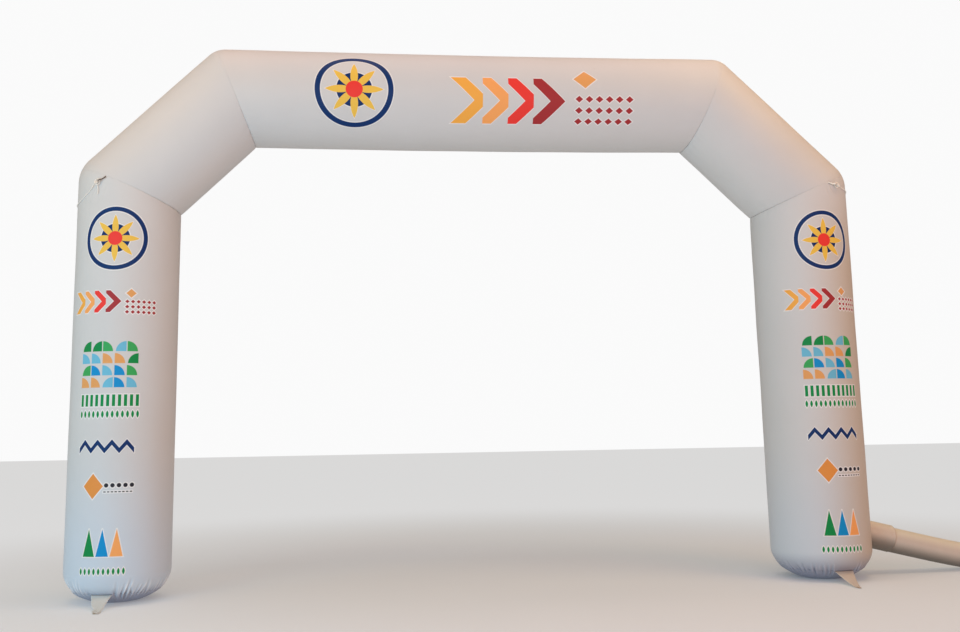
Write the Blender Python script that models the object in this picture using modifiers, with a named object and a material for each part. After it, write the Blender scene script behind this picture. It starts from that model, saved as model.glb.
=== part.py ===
"""Inflatable event arch: five fat air-filled cloth tubes joined on mitred seams.

Metres, +Z up. The arch spans X and its front faces -Y. Two upright legs carry two
sloping shoulders and a level beam. Every panel is a thin cloth shell, open where it is
sewn to the next. The legs end in gathered feet, each closed by a round base disc that
rests on the ground. A blower duct lies beside the right foot, tucked into a collar.
Left and right are as seen from the front.
"""
import math

import bmesh
import bpy
import numpy as np
from mathutils import Matrix, Vector

# ---- driving sizes ----
TUBE_RADIUS = 0.50
LEG_SPACING = 7.05            # between the leg axes at the shoulders
FOOT_SPLAY = 0.036            # each foot stands this much further out than its shoulder
SHOULDER_HEIGHT = 4.02        # corner of the leg axis and the shoulder axis
BEAM_CORNER_SPACING = 4.96
BEAM_HEIGHT = 5.025           # corner of the shoulder axis and the beam axis
BEAM_SAG = 0.012
SHOULDER_ROUNDING = 0.35      # radius that air pressure gives the outside of a corner
BEAM_ROUNDING = 0.26

CLOTH = 0.002
GAP = 0.0003                  # clearance between neighbouring pieces
COLUMNS = 36                  # points around a tube
GATHER_COLUMNS = 72           # points around a gathered foot

# ---- the foot's turned profile ----
FLAT_RADIUS = 0.16            # part of the base disc that lies on the ground
FOOT_HEIGHT = 0.286           # where the foot reaches the tube's full radius
FOOT_ROUNDNESS = 1.75         # 2 is an ellipse, 1 a straight cone
SEAM_ANGLE = math.radians(48)     # profile angle of the seam between leg and base disc
DISC_ANGLES = (0.0, math.radians(28))
LEG_ANGLES = (math.radians(60), math.radians(74), math.radians(90))
GATHER_TOP = 0.37             # height where the gathers have died out
GATHER_COUNT = 24
GATHER_DEPTH = 0.011
PUCKER_DEPTH = 0.006          # small folds in the inside of each corner
PUCKER_REACH = 0.10
CORNER_ROWS = (0.0, 0.06, 0.14)   # rows of points beside a mitred seam

# ---- anchor tabs: a row for each foot ----
# the tapers say how soon the tab's -X and +X edges draw in: 1 is a straight edge
# the notch is the bite that a crease takes out of the -X edge
TAB_COLUMNS = ("side", "root_azimuth", "root_width", "tip_x", "tip_reach", "tip_width",
               "eyelet_x", "eyelet_in", "low_taper", "high_taper", "notch")
TAB_ROWS = (
    (-1, -8.3, 0.203, -0.0075, 0.808, 0.056, -0.017, 0.036, 0.93, 3.2, 0.022),
    (1, 6.4, 0.206, -0.016, 0.825, 0.041, -0.004, 0.030, 1.41, 1.12, 0.0),
)
# share of the way from seam to tip, and share of the height that the tab has fallen by then
TAB_FALL = ((0.0, 0.0), (0.22, 0.29), (0.45, 0.57), (0.68, 0.82), (0.88, 1.0), (1.0, 1.0))
NOTCH_MIDDLE = 0.66           # share of the way to the tip
NOTCH_HALF = 0.14
TAB_ROOT_OUT = 0.0007         # the tab's middle surface stands this far off the seam
TAB_LYING = 0.0026            # height of its middle surface where it lies on the ground
TAB_ACROSS = (-1.0, -0.7, -0.35, 0.0, 0.35, 0.7, 1.0)
TAB_DOWN = (0.0, 0.10, 0.22, 0.34, 0.45, 0.53, 0.60, 0.66, 0.72, 0.79, 0.88, 1.0)
TAB_TOE = 0.014               # how far the tip's corners are drawn back
EYELET_RADIUS = 0.013
EYELET_HOLE = 0.0070
EYELET_WALL = 0.0011
EYELET_STEPS = 20

# ---- blower collar and duct ----
DUCT_AZIMUTH = math.radians(5)    # turned this far to the back from straight sideways
DUCT_RADIUS = 0.129
DUCT_START = 0.038            # clear of the leg, inside the collar
# run from the leg's side, and height of the duct's axis there
DUCT_ROWS = (
    (0.000, 0.4185), (0.350, 0.3345), (0.800, 0.2275), (0.980, 0.1870),
    (1.140, 0.1555), (1.280, 0.1345), (1.400, 0.1250), (1.520, 0.1235),
)
DUCT_SLOPE_STEP = 0.04        # stretch over which the duct's slope is measured
DUCT_POINTS = 28
HEM_WIDTH = 0.030
HEM_EXTRA = 0.0015
COLLAR_LENGTH = 0.293
COLLAR_RADIUS = 0.1378        # inside
COLLAR_LIFT = 0.0082          # the collar stands this much above the duct's axis
ROOT_STEPS = 20               # steps of the search for the leg along the collar's wall

# ---- guy points: webbing loop, knot and tie on each face of each shoulder ----
# clear: the lower layer of webbing, its middle above the tube's circle
GUY_COLUMNS = ("name", "side", "azimuth", "height", "pull_deg", "strap", "knot", "clear")
GUY_ROWS = (
    ("left", -1, 15.4, 4.066, 29.0, 0.083, 0.110, 0.0011),
    ("right", 1, 15.4, 4.072, 13.0, 0.090, 0.118, 0.0006),
)
STRAP_WIDTH = 0.024
LOOP_RADIUS = 0.0130
LOOP_CENTRE = 0.0150
STRAP_PITCH = 0.0030          # one layer of webbing over the other
ROPE_RADIUS = 0.004
KNOT_SIZE = (0.017, 0.0125, 0.021)     # half its width, thickness and length
KNOT_RING = 0.028
ROUTE_STEP = 0.024            # three rope diameters
# azimuth from the face in degrees, height below the guy point, rope centre above the cloth
LEFT_TIE = (
    (34, 0.108, 0.0070), (41, 0.150, 0.0052), (49, 0.184, 0.0052), (60, 0.206, 0.0052),
    (74, 0.212, 0.0052), (90, 0.213, 0.0052), (106, 0.212, 0.0052), (120, 0.206, 0.0052),
    (131, 0.184, 0.0052), (139, 0.150, 0.0052), (146, 0.108, 0.0070),
)
RIGHT_TIE = (
    (40, 0.039, 0.0070), (50, 0.043, 0.0052), (62, 0.045, 0.0052), (76, 0.046, 0.0052),
    (90, 0.046, 0.0052), (104, 0.046, 0.0052), (118, 0.045, 0.0052), (130, 0.043, 0.0052),
    (140, 0.039, 0.0070),
)
# the tie's free end: sideways, down and outward from the underside of the knot, metres
TAIL_ROUTE = (
    (0.000, 0.000, 0.0000), (0.002, 0.016, -0.0010), (0.005, 0.040, -0.0040),
    (0.003, 0.066, -0.0065), (0.000, 0.088, -0.0075),
)

SIDES = {"left": -1, "right": 1}


# ---- scene, collections, materials ----
def clear_scene():
    for old in list(bpy.data.objects):
        bpy.data.objects.remove(old, do_unlink=True)


def new_collection(name):
    group = bpy.data.collections.new(name)
    bpy.context.scene.collection.children.link(group)
    return group


def principled(name, colour, roughness, metallic=0.0):
    material = bpy.data.materials.new(name)
    material.use_nodes = True
    shader = material.node_tree.nodes["Principled BSDF"]
    shader.inputs["Base Color"].default_value = (*colour, 1.0)
    shader.inputs["Roughness"].default_value = roughness
    shader.inputs["Metallic"].default_value = metallic
    material.diffuse_color = (*colour, 1.0)
    return material


clear_scene()
ARCH = new_collection("inflatable_arch")
CUTTERS = new_collection("cutters")
ORIGIN = bpy.data.objects.new("arch_origin", None)
ARCH.objects.link(ORIGIN)


def adopt(piece, material, group=ARCH):
    """Link a finished object, give it its own material and hang it on the arch's empty."""
    for owner in list(piece.users_collection):
        owner.objects.unlink(piece)
    group.objects.link(piece)
    piece.parent = ORIGIN
    piece.data.materials.clear()
    piece.data.materials.append(material)
    return piece


def smooth(piece, angle_deg=40):
    piece.data.shade_smooth()
    piece.data.set_sharp_from_angle(angle=math.radians(angle_deg))


# ---- thin shells lofted between rings of points ----
def wall_faces(lower, upper):
    """Faces between two rings of vertex numbers; one ring may have twice the other's points."""
    low, high = len(lower), len(upper)
    count = min(low, high)
    faces = []
    for j in range(count):
        a = j * (low // count)
        b = j * (high // count)
        bottom = [lower[(a + k) % low] for k in range(low // count + 1)]
        top = [upper[(b + k) % high] for k in range(high // count + 1)]
        faces.append(bottom + top[::-1])
    return faces


def lofted_shell(name, outer, inner, material, closed_start=False, mirrored=False):
    """A cloth shell between an outer and an inner stack of rings, rimmed at its open ends."""
    rings = [np.asarray(ring, dtype=float) for ring in (*outer, *inner)]
    starts = np.cumsum([0] + [len(ring) for ring in rings])
    numbers = [list(range(starts[i], starts[i + 1])) for i in range(len(rings))]
    outside, inside = numbers[:len(outer)], numbers[len(outer):]
    faces = []
    for lower, upper in zip(outside, outside[1:]):
        faces += wall_faces(lower, upper)
    for lower, upper in zip(inside, inside[1:]):
        faces += [face[::-1] for face in wall_faces(lower, upper)]
    if closed_start:
        faces += [outside[0][::-1], inside[0]]
    else:
        faces += wall_faces(inside[0], outside[0])
    faces += wall_faces(outside[-1], inside[-1])
    if mirrored:
        faces = [face[::-1] for face in faces]
    mesh = bpy.data.meshes.new(name)
    mesh.from_pydata(np.concatenate(rings).tolist(), [], faces)
    piece = bpy.data.objects.new(name, mesh)
    smooth(piece)
    return adopt(piece, material)


# ---- the tube's path: axis corners of the right half, and the mitre planes ----
def leg_axis_x(height):
    return LEG_SPACING / 2 + FOOT_SPLAY * (1 - height / SHOULDER_HEIGHT)


FOOT = Vector((leg_axis_x(0), 0, 0))
SHOULDER = Vector((LEG_SPACING / 2, 0, SHOULDER_HEIGHT))
BEAM_END = Vector((BEAM_CORNER_SPACING / 2, 0, BEAM_HEIGHT))
FAR_BEAM_END = Vector((-BEAM_CORNER_SPACING / 2, 0, BEAM_HEIGHT))
LEG_WAY = (SHOULDER - FOOT).normalized()
SHOULDER_WAY = (BEAM_END - SHOULDER).normalized()
BEAM_WAY = (FAR_BEAM_END - BEAM_END).normalized()
LEFT_SHOULDER_WAY = Vector((SHOULDER_WAY.x, 0, -SHOULDER_WAY.z))
AROUND = np.arange(COLUMNS) * 2 * math.pi / COLUMNS


def mitre_normal(way, next_way):
    return (way + next_way).normalized()


def outside_of(way):
    """The direction square to the axis that points to the outside of the arch."""
    return Vector((way.z, 0, -way.x))


def corner_inset(rounding, lean, distance):
    """How far the rounded outside of a corner lies below the sharp one."""
    back = np.clip(rounding * lean - distance, 0, None)
    return rounding - np.sqrt(rounding ** 2 - back ** 2)


def corner_puckers(distance, seed):
    """Depth of the small folds on the inside of a corner."""
    inner_side = np.clip(-np.cos(AROUND), 0, 1) ** 3
    ripple = 0.5 + 0.5 * np.cos(AROUND * COLUMNS / 4 + seed)
    return PUCKER_DEPTH * inner_side * ripple * max(0.0, 1 - distance / PUCKER_REACH)


def seam_ring(corner, way, normal, distance, towards, wall, seed):
    """One ring of a tube panel, at a distance along the axis from its mitred seam.

    towards is +1 where the panel runs on from the seam and -1 where it runs up to it.
    The outside of the corner is rounded off, and the inside has a few small puckers.
    """
    outer_way = outside_of(way)
    rounding = SHOULDER_ROUNDING if corner == SHOULDER else BEAM_ROUNDING
    lean = math.sin(way.angle(normal)) * np.clip(np.cos(AROUND), 0, None)
    radius = TUBE_RADIUS - wall - corner_inset(rounding, lean, distance) - corner_puckers(distance, seed)
    seam_radius = TUBE_RADIUS - wall - corner_inset(rounding, lean, 0) - corner_puckers(0, seed)
    reach = -seam_radius * np.cos(AROUND) * outer_way.dot(normal) + towards * GAP / 2
    along = reach / way.dot(normal) + towards * distance
    radial = np.outer(np.cos(AROUND), outer_way) + np.outer(np.sin(AROUND), (0, 1, 0))
    return np.asarray(corner) + radius[:, None] * radial + np.outer(along, way)


def mirror(rings):
    return [ring * (-1, 1, 1) for ring in rings]


# ---- gathered feet ----
def foot_profile(angle):
    """Radius and height on the foot's profile, and the outward normal there."""
    s, c = math.sin(angle), math.cos(angle)
    power = 2 / FOOT_ROUNDNESS
    radius = FLAT_RADIUS + (TUBE_RADIUS - FLAT_RADIUS) * s ** power
    height = FOOT_HEIGHT * (1 - max(c, 0.0) ** power)
    along_r = (TUBE_RADIUS - FLAT_RADIUS) * s ** (power - 1) * c if s > 0 else 1.0
    along_z = FOOT_HEIGHT * max(c, 1e-9) ** (power - 1) * s
    length = math.hypot(along_r, along_z)
    return radius, height, (along_z / length, -along_r / length)


def gather_pattern(side):
    """Depth and reach of each gather, one sharp valley every third point, all uneven."""
    rng = np.random.default_rng(11 + side)
    depth = rng.uniform(0.35, 1.0, GATHER_COUNT)
    reach = rng.uniform(0.45, 1.0, GATHER_COUNT)
    ridge = rng.uniform(0.15, 0.45, GATHER_COUNT)
    valley = np.repeat(depth, 3) * np.tile((1.0, 0.0, 0.0), GATHER_COUNT)
    bulge = np.repeat(ridge, 3) * np.tile((0.0, 1.0, 0.8), GATHER_COUNT)
    return bulge - valley, np.repeat(reach, 3)


def gather_gate(side, height):
    """No gathers over the tab's root, nor high up beside the blower collar."""
    around = np.arange(GATHER_COLUMNS) * 360 / GATHER_COLUMNS
    tab = next(row for row in TAB_ROWS if row[0] == side)
    tab_at = 270 + tab[1] if side > 0 else 270 - tab[1]
    off_tab = np.abs((around - tab_at + 180) % 360 - 180)
    gate = np.clip((off_tab - 14) / 10, 0, 1)
    if side > 0 and height > 0.14:
        off_collar = np.abs((around - math.degrees(DUCT_AZIMUTH) + 180) % 360 - 180)
        gate = gate * np.clip((off_collar - 18) / 10, 0, 1)
    return gate


def foot_ring(side, angle, wall, nudge=0.0):
    """A gathered ring of the foot, on its right-hand copy, at an angle of its profile."""
    radius, height, (out_r, out_z) = foot_profile(angle)
    pattern, reach = gather_pattern(side)
    if angle < SEAM_ANGLE:
        fade = angle / SEAM_ANGLE * np.ones(GATHER_COLUMNS)
        fade = np.clip((fade - 0.3) / 0.7, 0, 1)
    else:
        rise = (angle - SEAM_ANGLE) / (LEG_ANGLES[-1] - SEAM_ANGLE)
        fade = np.clip(1 - 0.8 * rise / reach, 0, 1)
    shift = GATHER_DEPTH * pattern * fade * gather_gate(side, height) - wall
    around = np.arange(GATHER_COLUMNS) * 2 * math.pi / GATHER_COLUMNS
    turn = np.stack((np.cos(around), np.sin(around)), axis=1)
    ring_radius = radius + shift * out_r - nudge * out_z
    heights = height + shift * out_z + nudge * out_r
    return np.column_stack((turn * ring_radius[:, None] + (leg_axis_x(height), 0), heights))


def plain_ring(radius, height):
    """A level ring around the right-hand leg's axis."""
    turn = np.stack((np.cos(AROUND), np.sin(AROUND)), axis=1) * radius
    return np.column_stack((turn + (leg_axis_x(height), 0), np.full(COLUMNS, height)))


def make_leg(side_name):
    side = SIDES[side_name]
    normal = mitre_normal(LEG_WAY, SHOULDER_WAY)
    walls = []
    for wall in (0.0, CLOTH):
        rings = [foot_ring(side, SEAM_ANGLE, wall, GAP / 2)]
        rings += [foot_ring(side, angle, wall) for angle in LEG_ANGLES]
        rings += [plain_ring(TUBE_RADIUS - wall, GATHER_TOP)]
        rings += [seam_ring(SHOULDER, LEG_WAY, normal, row, -1, wall, side) for row in CORNER_ROWS[::-1]]
        walls.append(rings if side > 0 else mirror(rings))
    white = principled(f"leg_cloth_{side_name}", (0.80, 0.79, 0.79), 0.55)
    return lofted_shell(f"leg_{side_name}", *walls, white, mirrored=side < 0)


def make_base_disc(side_name):
    side = SIDES[side_name]
    walls = []
    for wall in (0.0, CLOTH):
        rings = [plain_ring(FLAT_RADIUS, wall)]
        rings += [foot_ring(side, DISC_ANGLES[1], wall), foot_ring(side, SEAM_ANGLE, wall, -GAP / 2)]
        walls.append(rings if side > 0 else mirror(rings))
    grey = principled(f"base_cloth_{side_name}", (0.62, 0.64, 0.68), 0.60)
    return lofted_shell(f"base_{side_name}", *walls, grey, closed_start=True, mirrored=side < 0)


def make_shoulder(side_name):
    side = SIDES[side_name]
    low = mitre_normal(LEG_WAY, SHOULDER_WAY)
    high = mitre_normal(SHOULDER_WAY, BEAM_WAY)
    walls = []
    for wall in (0.0, CLOTH):
        rings = [seam_ring(SHOULDER, SHOULDER_WAY, low, row, 1, wall, side) for row in CORNER_ROWS]
        rings += [seam_ring(BEAM_END, SHOULDER_WAY, high, row, -1, wall, 2 * side) for row in CORNER_ROWS[::-1]]
        walls.append(rings if side > 0 else mirror(rings))
    white = principled(f"shoulder_cloth_{side_name}", (0.81, 0.78, 0.76), 0.55)
    return lofted_shell(f"shoulder_{side_name}", *walls, white, mirrored=side < 0)


def make_beam():
    near = mitre_normal(SHOULDER_WAY, BEAM_WAY)
    far = mitre_normal(BEAM_WAY, LEFT_SHOULDER_WAY)
    walls = []
    for wall in (0.0, CLOTH):
        rings = [seam_ring(BEAM_END, BEAM_WAY, near, row, 1, wall, 2) for row in CORNER_ROWS]
        middle = np.column_stack((np.zeros(COLUMNS), np.sin(AROUND), np.cos(AROUND))) * (TUBE_RADIUS - wall)
        rings.append(middle + (0, 0, BEAM_HEIGHT - BEAM_SAG))
        rings += [seam_ring(FAR_BEAM_END, BEAM_WAY, far, row, -1, wall, -2) for row in CORNER_ROWS[::-1]]
        walls.append(rings)
    white = principled("beam_cloth", (0.82, 0.77, 0.77), 0.55)
    return lofted_shell("beam", *walls, white)


# ---- blower collar and duct, beside the right foot ----
DUCT_WAY = Vector((math.cos(DUCT_AZIMUTH), math.sin(DUCT_AZIMUTH), 0))
DUCT_SIDE = Vector((-math.sin(DUCT_AZIMUTH), math.cos(DUCT_AZIMUTH), 0))
DUCT_ROOT = Vector((leg_axis_x(DUCT_ROWS[0][1]), 0, 0)) + TUBE_RADIUS * DUCT_WAY


def duct_height(run):
    runs, heights = zip(*DUCT_ROWS)
    return float(np.interp(run, runs, heights))


def duct_frame(run):
    """Centre of the duct at a run from the leg, its direction, and the way square to it."""
    start = min(max(run - DUCT_SLOPE_STEP, 0.0), DUCT_ROWS[-1][0] - 2 * DUCT_SLOPE_STEP)
    slope = (duct_height(start + 2 * DUCT_SLOPE_STEP) - duct_height(start)) / (2 * DUCT_SLOPE_STEP)
    centre = DUCT_ROOT + DUCT_WAY * run + Vector((0, 0, duct_height(run)))
    way = (DUCT_WAY + Vector((0, 0, slope))).normalized()
    return centre, way, way.cross(DUCT_SIDE)


def duct_ring(run, radius, floor):
    """A ring of the duct; what would sink below the ground lies flat on it."""
    centre, _, up = duct_frame(run)
    around = np.arange(DUCT_POINTS) * 2 * math.pi / DUCT_POINTS
    across = np.outer(np.cos(around), DUCT_SIDE) + np.outer(np.sin(around), up)
    ring = np.asarray(centre) + radius * across
    ring[:, 2] = np.maximum(ring[:, 2], floor)
    return ring


def make_duct():
    end = DUCT_ROWS[-1][0]
    runs = [DUCT_START] + [row[0] for row in DUCT_ROWS[1:-1]] + [end - HEM_WIDTH]
    hem = (end - HEM_WIDTH + 0.002, end)
    outer = [duct_ring(run, DUCT_RADIUS, 0.0) for run in runs]
    outer += [duct_ring(run, DUCT_RADIUS + HEM_EXTRA, 0.0) for run in hem]
    inner = [duct_ring(run, DUCT_RADIUS - CLOTH, CLOTH) for run in (*runs, *hem)]
    beige = principled("duct_cloth", (0.74, 0.68, 0.60), 0.60)
    return lofted_shell("blower_duct", outer, inner, beige)


def collar_ring(run, radius):
    centre, way, up = duct_frame(0.0)
    around = np.arange(DUCT_POINTS) * 2 * math.pi / DUCT_POINTS
    across = np.outer(np.cos(around), DUCT_SIDE) + np.outer(np.sin(around), up)
    return np.asarray(centre + way * run + up * COLLAR_LIFT) + radius * across


def collar_root_ring(radius):
    """Where the collar's wall meets the leg: each line of the wall is run back to the leg."""
    way = duct_frame(0.0)[1]
    points = []
    for spot in collar_ring(0.0, radius):
        spot = Vector(spot)
        for _ in range(ROOT_STEPS):
            off_axis = math.hypot(spot.x - leg_axis_x(spot.z), spot.y)
            spot += way * (TUBE_RADIUS + 1.5 * GAP - off_axis)
        points.append(tuple(spot))
    return np.array(points)


def make_collar():
    walls = []
    for radius in (COLLAR_RADIUS + CLOTH, COLLAR_RADIUS):
        rings = [collar_root_ring(radius)]
        rings += [collar_ring(run, radius) for run in (COLLAR_LENGTH / 3, COLLAR_LENGTH)]
        walls.append(rings)
    beige = principled("collar_cloth", (0.78, 0.72, 0.65), 0.60)
    return lofted_shell("blower_collar", *walls, beige)


# ---- anchor tabs and their eyelets ----
def tab_row(side):
    return dict(zip(TAB_COLUMNS, next(row for row in TAB_ROWS if row[0] == side)))


def tab_point(row, across, down):
    """A point of the tab: across runs -1 to 1 and down runs 0 at the seam to 1 at the tip."""
    radius, height, (out_r, out_z) = foot_profile(SEAM_ANGLE)
    root_radius = radius + TAB_ROOT_OUT * out_r
    root_height = height + TAB_ROOT_OUT * out_z
    turn = math.radians(row["root_azimuth"]) + across * row["root_width"] / 2 / root_radius
    root = Vector((root_radius * math.sin(turn), -root_radius * math.cos(turn), root_height))
    toe = TAB_TOE * across ** 4
    tip = Vector((row["tip_x"] + across * row["tip_width"] / 2, -row["tip_reach"] + toe, TAB_LYING))
    taper = (row["low_taper"] * (1 - across) + row["high_taper"] * (1 + across)) / 2
    narrowed = 1 - (1 - down) ** taper
    past_notch = min(1.0, abs(down - NOTCH_MIDDLE) / NOTCH_HALF)
    bite = row["notch"] * math.cos(past_notch * math.pi / 2) ** 2 * ((1 - across) / 2) ** 2
    fallen = float(np.interp(down, *zip(*TAB_FALL)))
    return Vector((
        root.x + (tip.x - root.x) * narrowed + bite,
        root.y + (tip.y - root.y) * down,
        root.z + (tip.z - root.z) * fallen))


def grid_faces(rows, columns):
    faces = []
    for i in range(rows - 1):
        for j in range(columns - 1):
            k = i * columns + j
            faces.append((k, k + columns, k + columns + 1, k + 1))
    return faces


def make_tab(side_name):
    side = SIDES[side_name]
    row = tab_row(side)
    foot = Vector((side * leg_axis_x(0), 0, 0))
    points = [tab_point(row, a, d) + foot for d in TAB_DOWN for a in TAB_ACROSS]
    faces = grid_faces(len(TAB_DOWN), len(TAB_ACROSS))
    mesh = bpy.data.meshes.new(f"tab_{side_name}")
    mesh.from_pydata([tuple(p) for p in points], [], faces)
    tab = bpy.data.objects.new(f"tab_{side_name}", mesh)
    adopt(tab, principled(f"tab_cloth_{side_name}", (0.80, 0.79, 0.75), 0.65))
    skin = tab.modifiers.new("cloth", "SOLIDIFY")
    skin.thickness = CLOTH
    skin.offset = 0.0
    hole = tab.modifiers.new("eyelet_hole", "BOOLEAN")
    hole.object = eyelet_cutter(side_name)
    hole.operation = "DIFFERENCE"
    return tab


def eyelet_centre(side_name):
    row = tab_row(SIDES[side_name])
    x = SIDES[side_name] * leg_axis_x(0) + row["tip_x"] + row["eyelet_x"]
    return Vector((x, -row["tip_reach"] + row["eyelet_in"], 0))


def eyelet_cutter(side_name):
    bpy.ops.mesh.primitive_cylinder_add(
        vertices=EYELET_STEPS, radius=EYELET_HOLE + EYELET_WALL + GAP, depth=10 * CLOTH,
        location=eyelet_centre(side_name))
    cutter = bpy.context.object
    cutter.name = f"eyelet_hole_{side_name}"
    for owner in list(cutter.users_collection):
        owner.objects.unlink(cutter)
    CUTTERS.objects.link(cutter)
    cutter.parent = ORIGIN
    cutter.hide_render = True
    cutter.display_type = "WIRE"
    return cutter


def make_eyelet(side_name):
    """A rolled metal eyelet: a turned barrel with a flange under and over the cloth."""
    low = TAB_LYING - CLOTH / 2 - GAP
    high = low + CLOTH + 2 * GAP
    barrel = EYELET_HOLE + EYELET_WALL
    edge = EYELET_RADIUS - low
    profile = (
        (EYELET_HOLE, high + low), (edge, high + low), (EYELET_RADIUS, high), (barrel, high),
        (barrel, low), (EYELET_RADIUS, low), (edge, 0.0), (EYELET_HOLE, 0.0),
    )
    mesh = bpy.data.meshes.new(f"eyelet_{side_name}")
    edges = [(i, (i + 1) % len(profile)) for i in range(len(profile))]
    mesh.from_pydata([(r, 0, z) for r, z in profile], edges, [])
    eyelet = bpy.data.objects.new(f"eyelet_{side_name}", mesh)
    eyelet.location = eyelet_centre(side_name)
    adopt(eyelet, principled(f"eyelet_metal_{side_name}", (0.45, 0.42, 0.38), 0.35, 0.9))
    turn = eyelet.modifiers.new("turned", "SCREW")
    turn.steps = EYELET_STEPS
    turn.render_steps = EYELET_STEPS
    turn.use_merge_vertices = True
    turn.merge_threshold = 0.00001
    turn.use_smooth_shade = True
    return eyelet


# ---- guy points ----
def on_leg(side, azimuth, height, off, face):
    """A point beside a leg: azimuth in degrees from the front (face -1) or back (face +1)."""
    turn = math.radians(azimuth)
    reach = TUBE_RADIUS + off
    x = side * (leg_axis_x(height) + reach * math.sin(turn))
    return Vector((x, face * reach * math.cos(turn), height))


def guy_frame(row, face):
    """Middle of the strap on the cloth, with the pull, the outward and the width directions."""
    half = row["strap"] / 2
    pull = math.radians(row["pull_deg"])
    azimuth = row["azimuth"] + math.degrees(half * math.cos(pull) / TUBE_RADIUS)
    height = row["height"] - half * math.sin(pull)
    turn = math.radians(azimuth)
    middle = on_leg(row["side"], azimuth, height, 0.0, face)
    outward = Vector((row["side"] * math.sin(turn), face * math.cos(turn), 0))
    level = Vector((row["side"] * math.cos(turn), -face * math.sin(turn), 0))
    along = level * math.cos(pull) + Vector((0, 0, -math.sin(pull)))
    return middle, along, outward, outward.cross(along)


def guy_point(frame, along, outward, across=0.0):
    middle, pull, out, wide = frame
    return middle + pull * along + out * outward + wide * across


def make_guy_loop(row, face, name):
    """Webbing folded back on itself: flat on the cloth, with an open eye at its end."""
    frame = guy_frame(row, face)
    half = row["strap"] / 2
    eye = half - LOOP_RADIUS
    low = row["clear"]
    line = [(-half, low), (-0.2 * half, low), (eye - 0.012, low)]
    for turn in (-80, -45, 0, 45, 90, 135, 165):
        angle = math.radians(turn)
        line.append((eye + LOOP_RADIUS * math.cos(angle), LOOP_CENTRE + LOOP_RADIUS * math.sin(angle)))
    line += [(eye - 0.024, low + STRAP_PITCH), (-half, low + STRAP_PITCH)]
    points = [guy_point(frame, a, o, side * STRAP_WIDTH / 2) for a, o in line for side in (-1, 1)]
    mesh = bpy.data.meshes.new(f"guy_loop_{name}")
    mesh.from_pydata([tuple(p) for p in points], [], grid_faces(len(line), 2))
    loop = bpy.data.objects.new(f"guy_loop_{name}", mesh)
    adopt(loop, principled(f"webbing_{name}", (0.85, 0.82, 0.76), 0.75))
    skin = loop.modifiers.new("webbing", "SOLIDIFY")
    skin.thickness = CLOTH
    skin.offset = 0.0
    skin.use_even_offset = True
    return loop


def make_guy_knot(row, face, name):
    """The knot: a ring of rope through the webbing's eye, joined to a lump of turns."""
    frame = guy_frame(row, face)
    eye = row["strap"] / 2 - LOOP_RADIUS
    _, along, out, wide = frame
    mesh = bmesh.new()
    size = Matrix.Diagonal((*KNOT_SIZE, 1.0))
    lump_at = guy_point(frame, row["knot"] - row["strap"] / 2, LOOP_CENTRE)
    placed = Matrix.Translation(lump_at) @ Matrix((wide, out, along)).transposed().to_4x4() @ size
    bmesh.ops.create_icosphere(mesh, subdivisions=1, radius=1.0, matrix=placed)
    lump_mesh = bpy.data.meshes.new(f"knot_{name}")
    mesh.to_mesh(lump_mesh)
    mesh.free()
    lump = bpy.data.objects.new(f"knot_{name}", lump_mesh)
    adopt(lump, principled(f"rope_knot_{name}", (0.80, 0.76, 0.68), 0.85))
    ring_at = guy_point(frame, eye + KNOT_RING, LOOP_CENTRE)
    bpy.ops.mesh.primitive_torus_add(
        major_radius=KNOT_RING, minor_radius=ROPE_RADIUS, major_segments=16, minor_segments=6)
    ring = bpy.context.object
    ring.name = f"knot_ring_{name}"
    ring.matrix_world = Matrix.Translation(ring_at) @ Matrix((along, wide, out)).transposed().to_4x4()
    for owner in list(ring.users_collection):
        owner.objects.unlink(ring)
    CUTTERS.objects.link(ring)
    ring.parent = ORIGIN
    ring.hide_render = True
    ring.display_type = "WIRE"
    union = lump.modifiers.new("ring", "BOOLEAN")
    union.object = ring
    union.operation = "UNION"
    return lump


def smooth_route(points, step):
    """Points at even steps along a smooth curve through the route's own points."""
    knots = [Vector(p) for p in points]
    knots = [2 * knots[0] - knots[1]] + knots + [2 * knots[-1] - knots[-2]]
    fine = []
    for i in range(1, len(knots) - 2):
        before, start, end, after = knots[i - 1:i + 3]
        for k in range(24):
            t = k / 24
            bend = 2 * start + (end - before) * t + (2 * before - 5 * start + 4 * end - after) * t ** 2
            fine.append(0.5 * (bend + (3 * start - before - 3 * end + after) * t ** 3))
    fine.append(knots[-2])
    fine = np.array([tuple(p) for p in fine])
    length = np.concatenate(([0], np.cumsum(np.linalg.norm(np.diff(fine, axis=0), axis=1))))
    even = np.linspace(0, length[-1], max(3, round(length[-1] / step) + 1))
    return np.column_stack([np.interp(even, length, fine[:, k]) for k in range(3)])


def make_rope(name, points, colour):
    route = smooth_route(points, ROUTE_STEP)
    curve = bpy.data.curves.new(name, "CURVE")
    curve.dimensions = "3D"
    curve.bevel_depth = ROPE_RADIUS
    curve.bevel_resolution = 2
    curve.use_fill_caps = True
    spline = curve.splines.new("POLY")
    spline.points.add(len(route) - 1)
    for point, place in zip(spline.points, route):
        point.co = (*place, 1.0)
    rope = bpy.data.objects.new(name, curve)
    return adopt(rope, principled(f"{name}_fibre", colour, 0.85))


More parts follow.
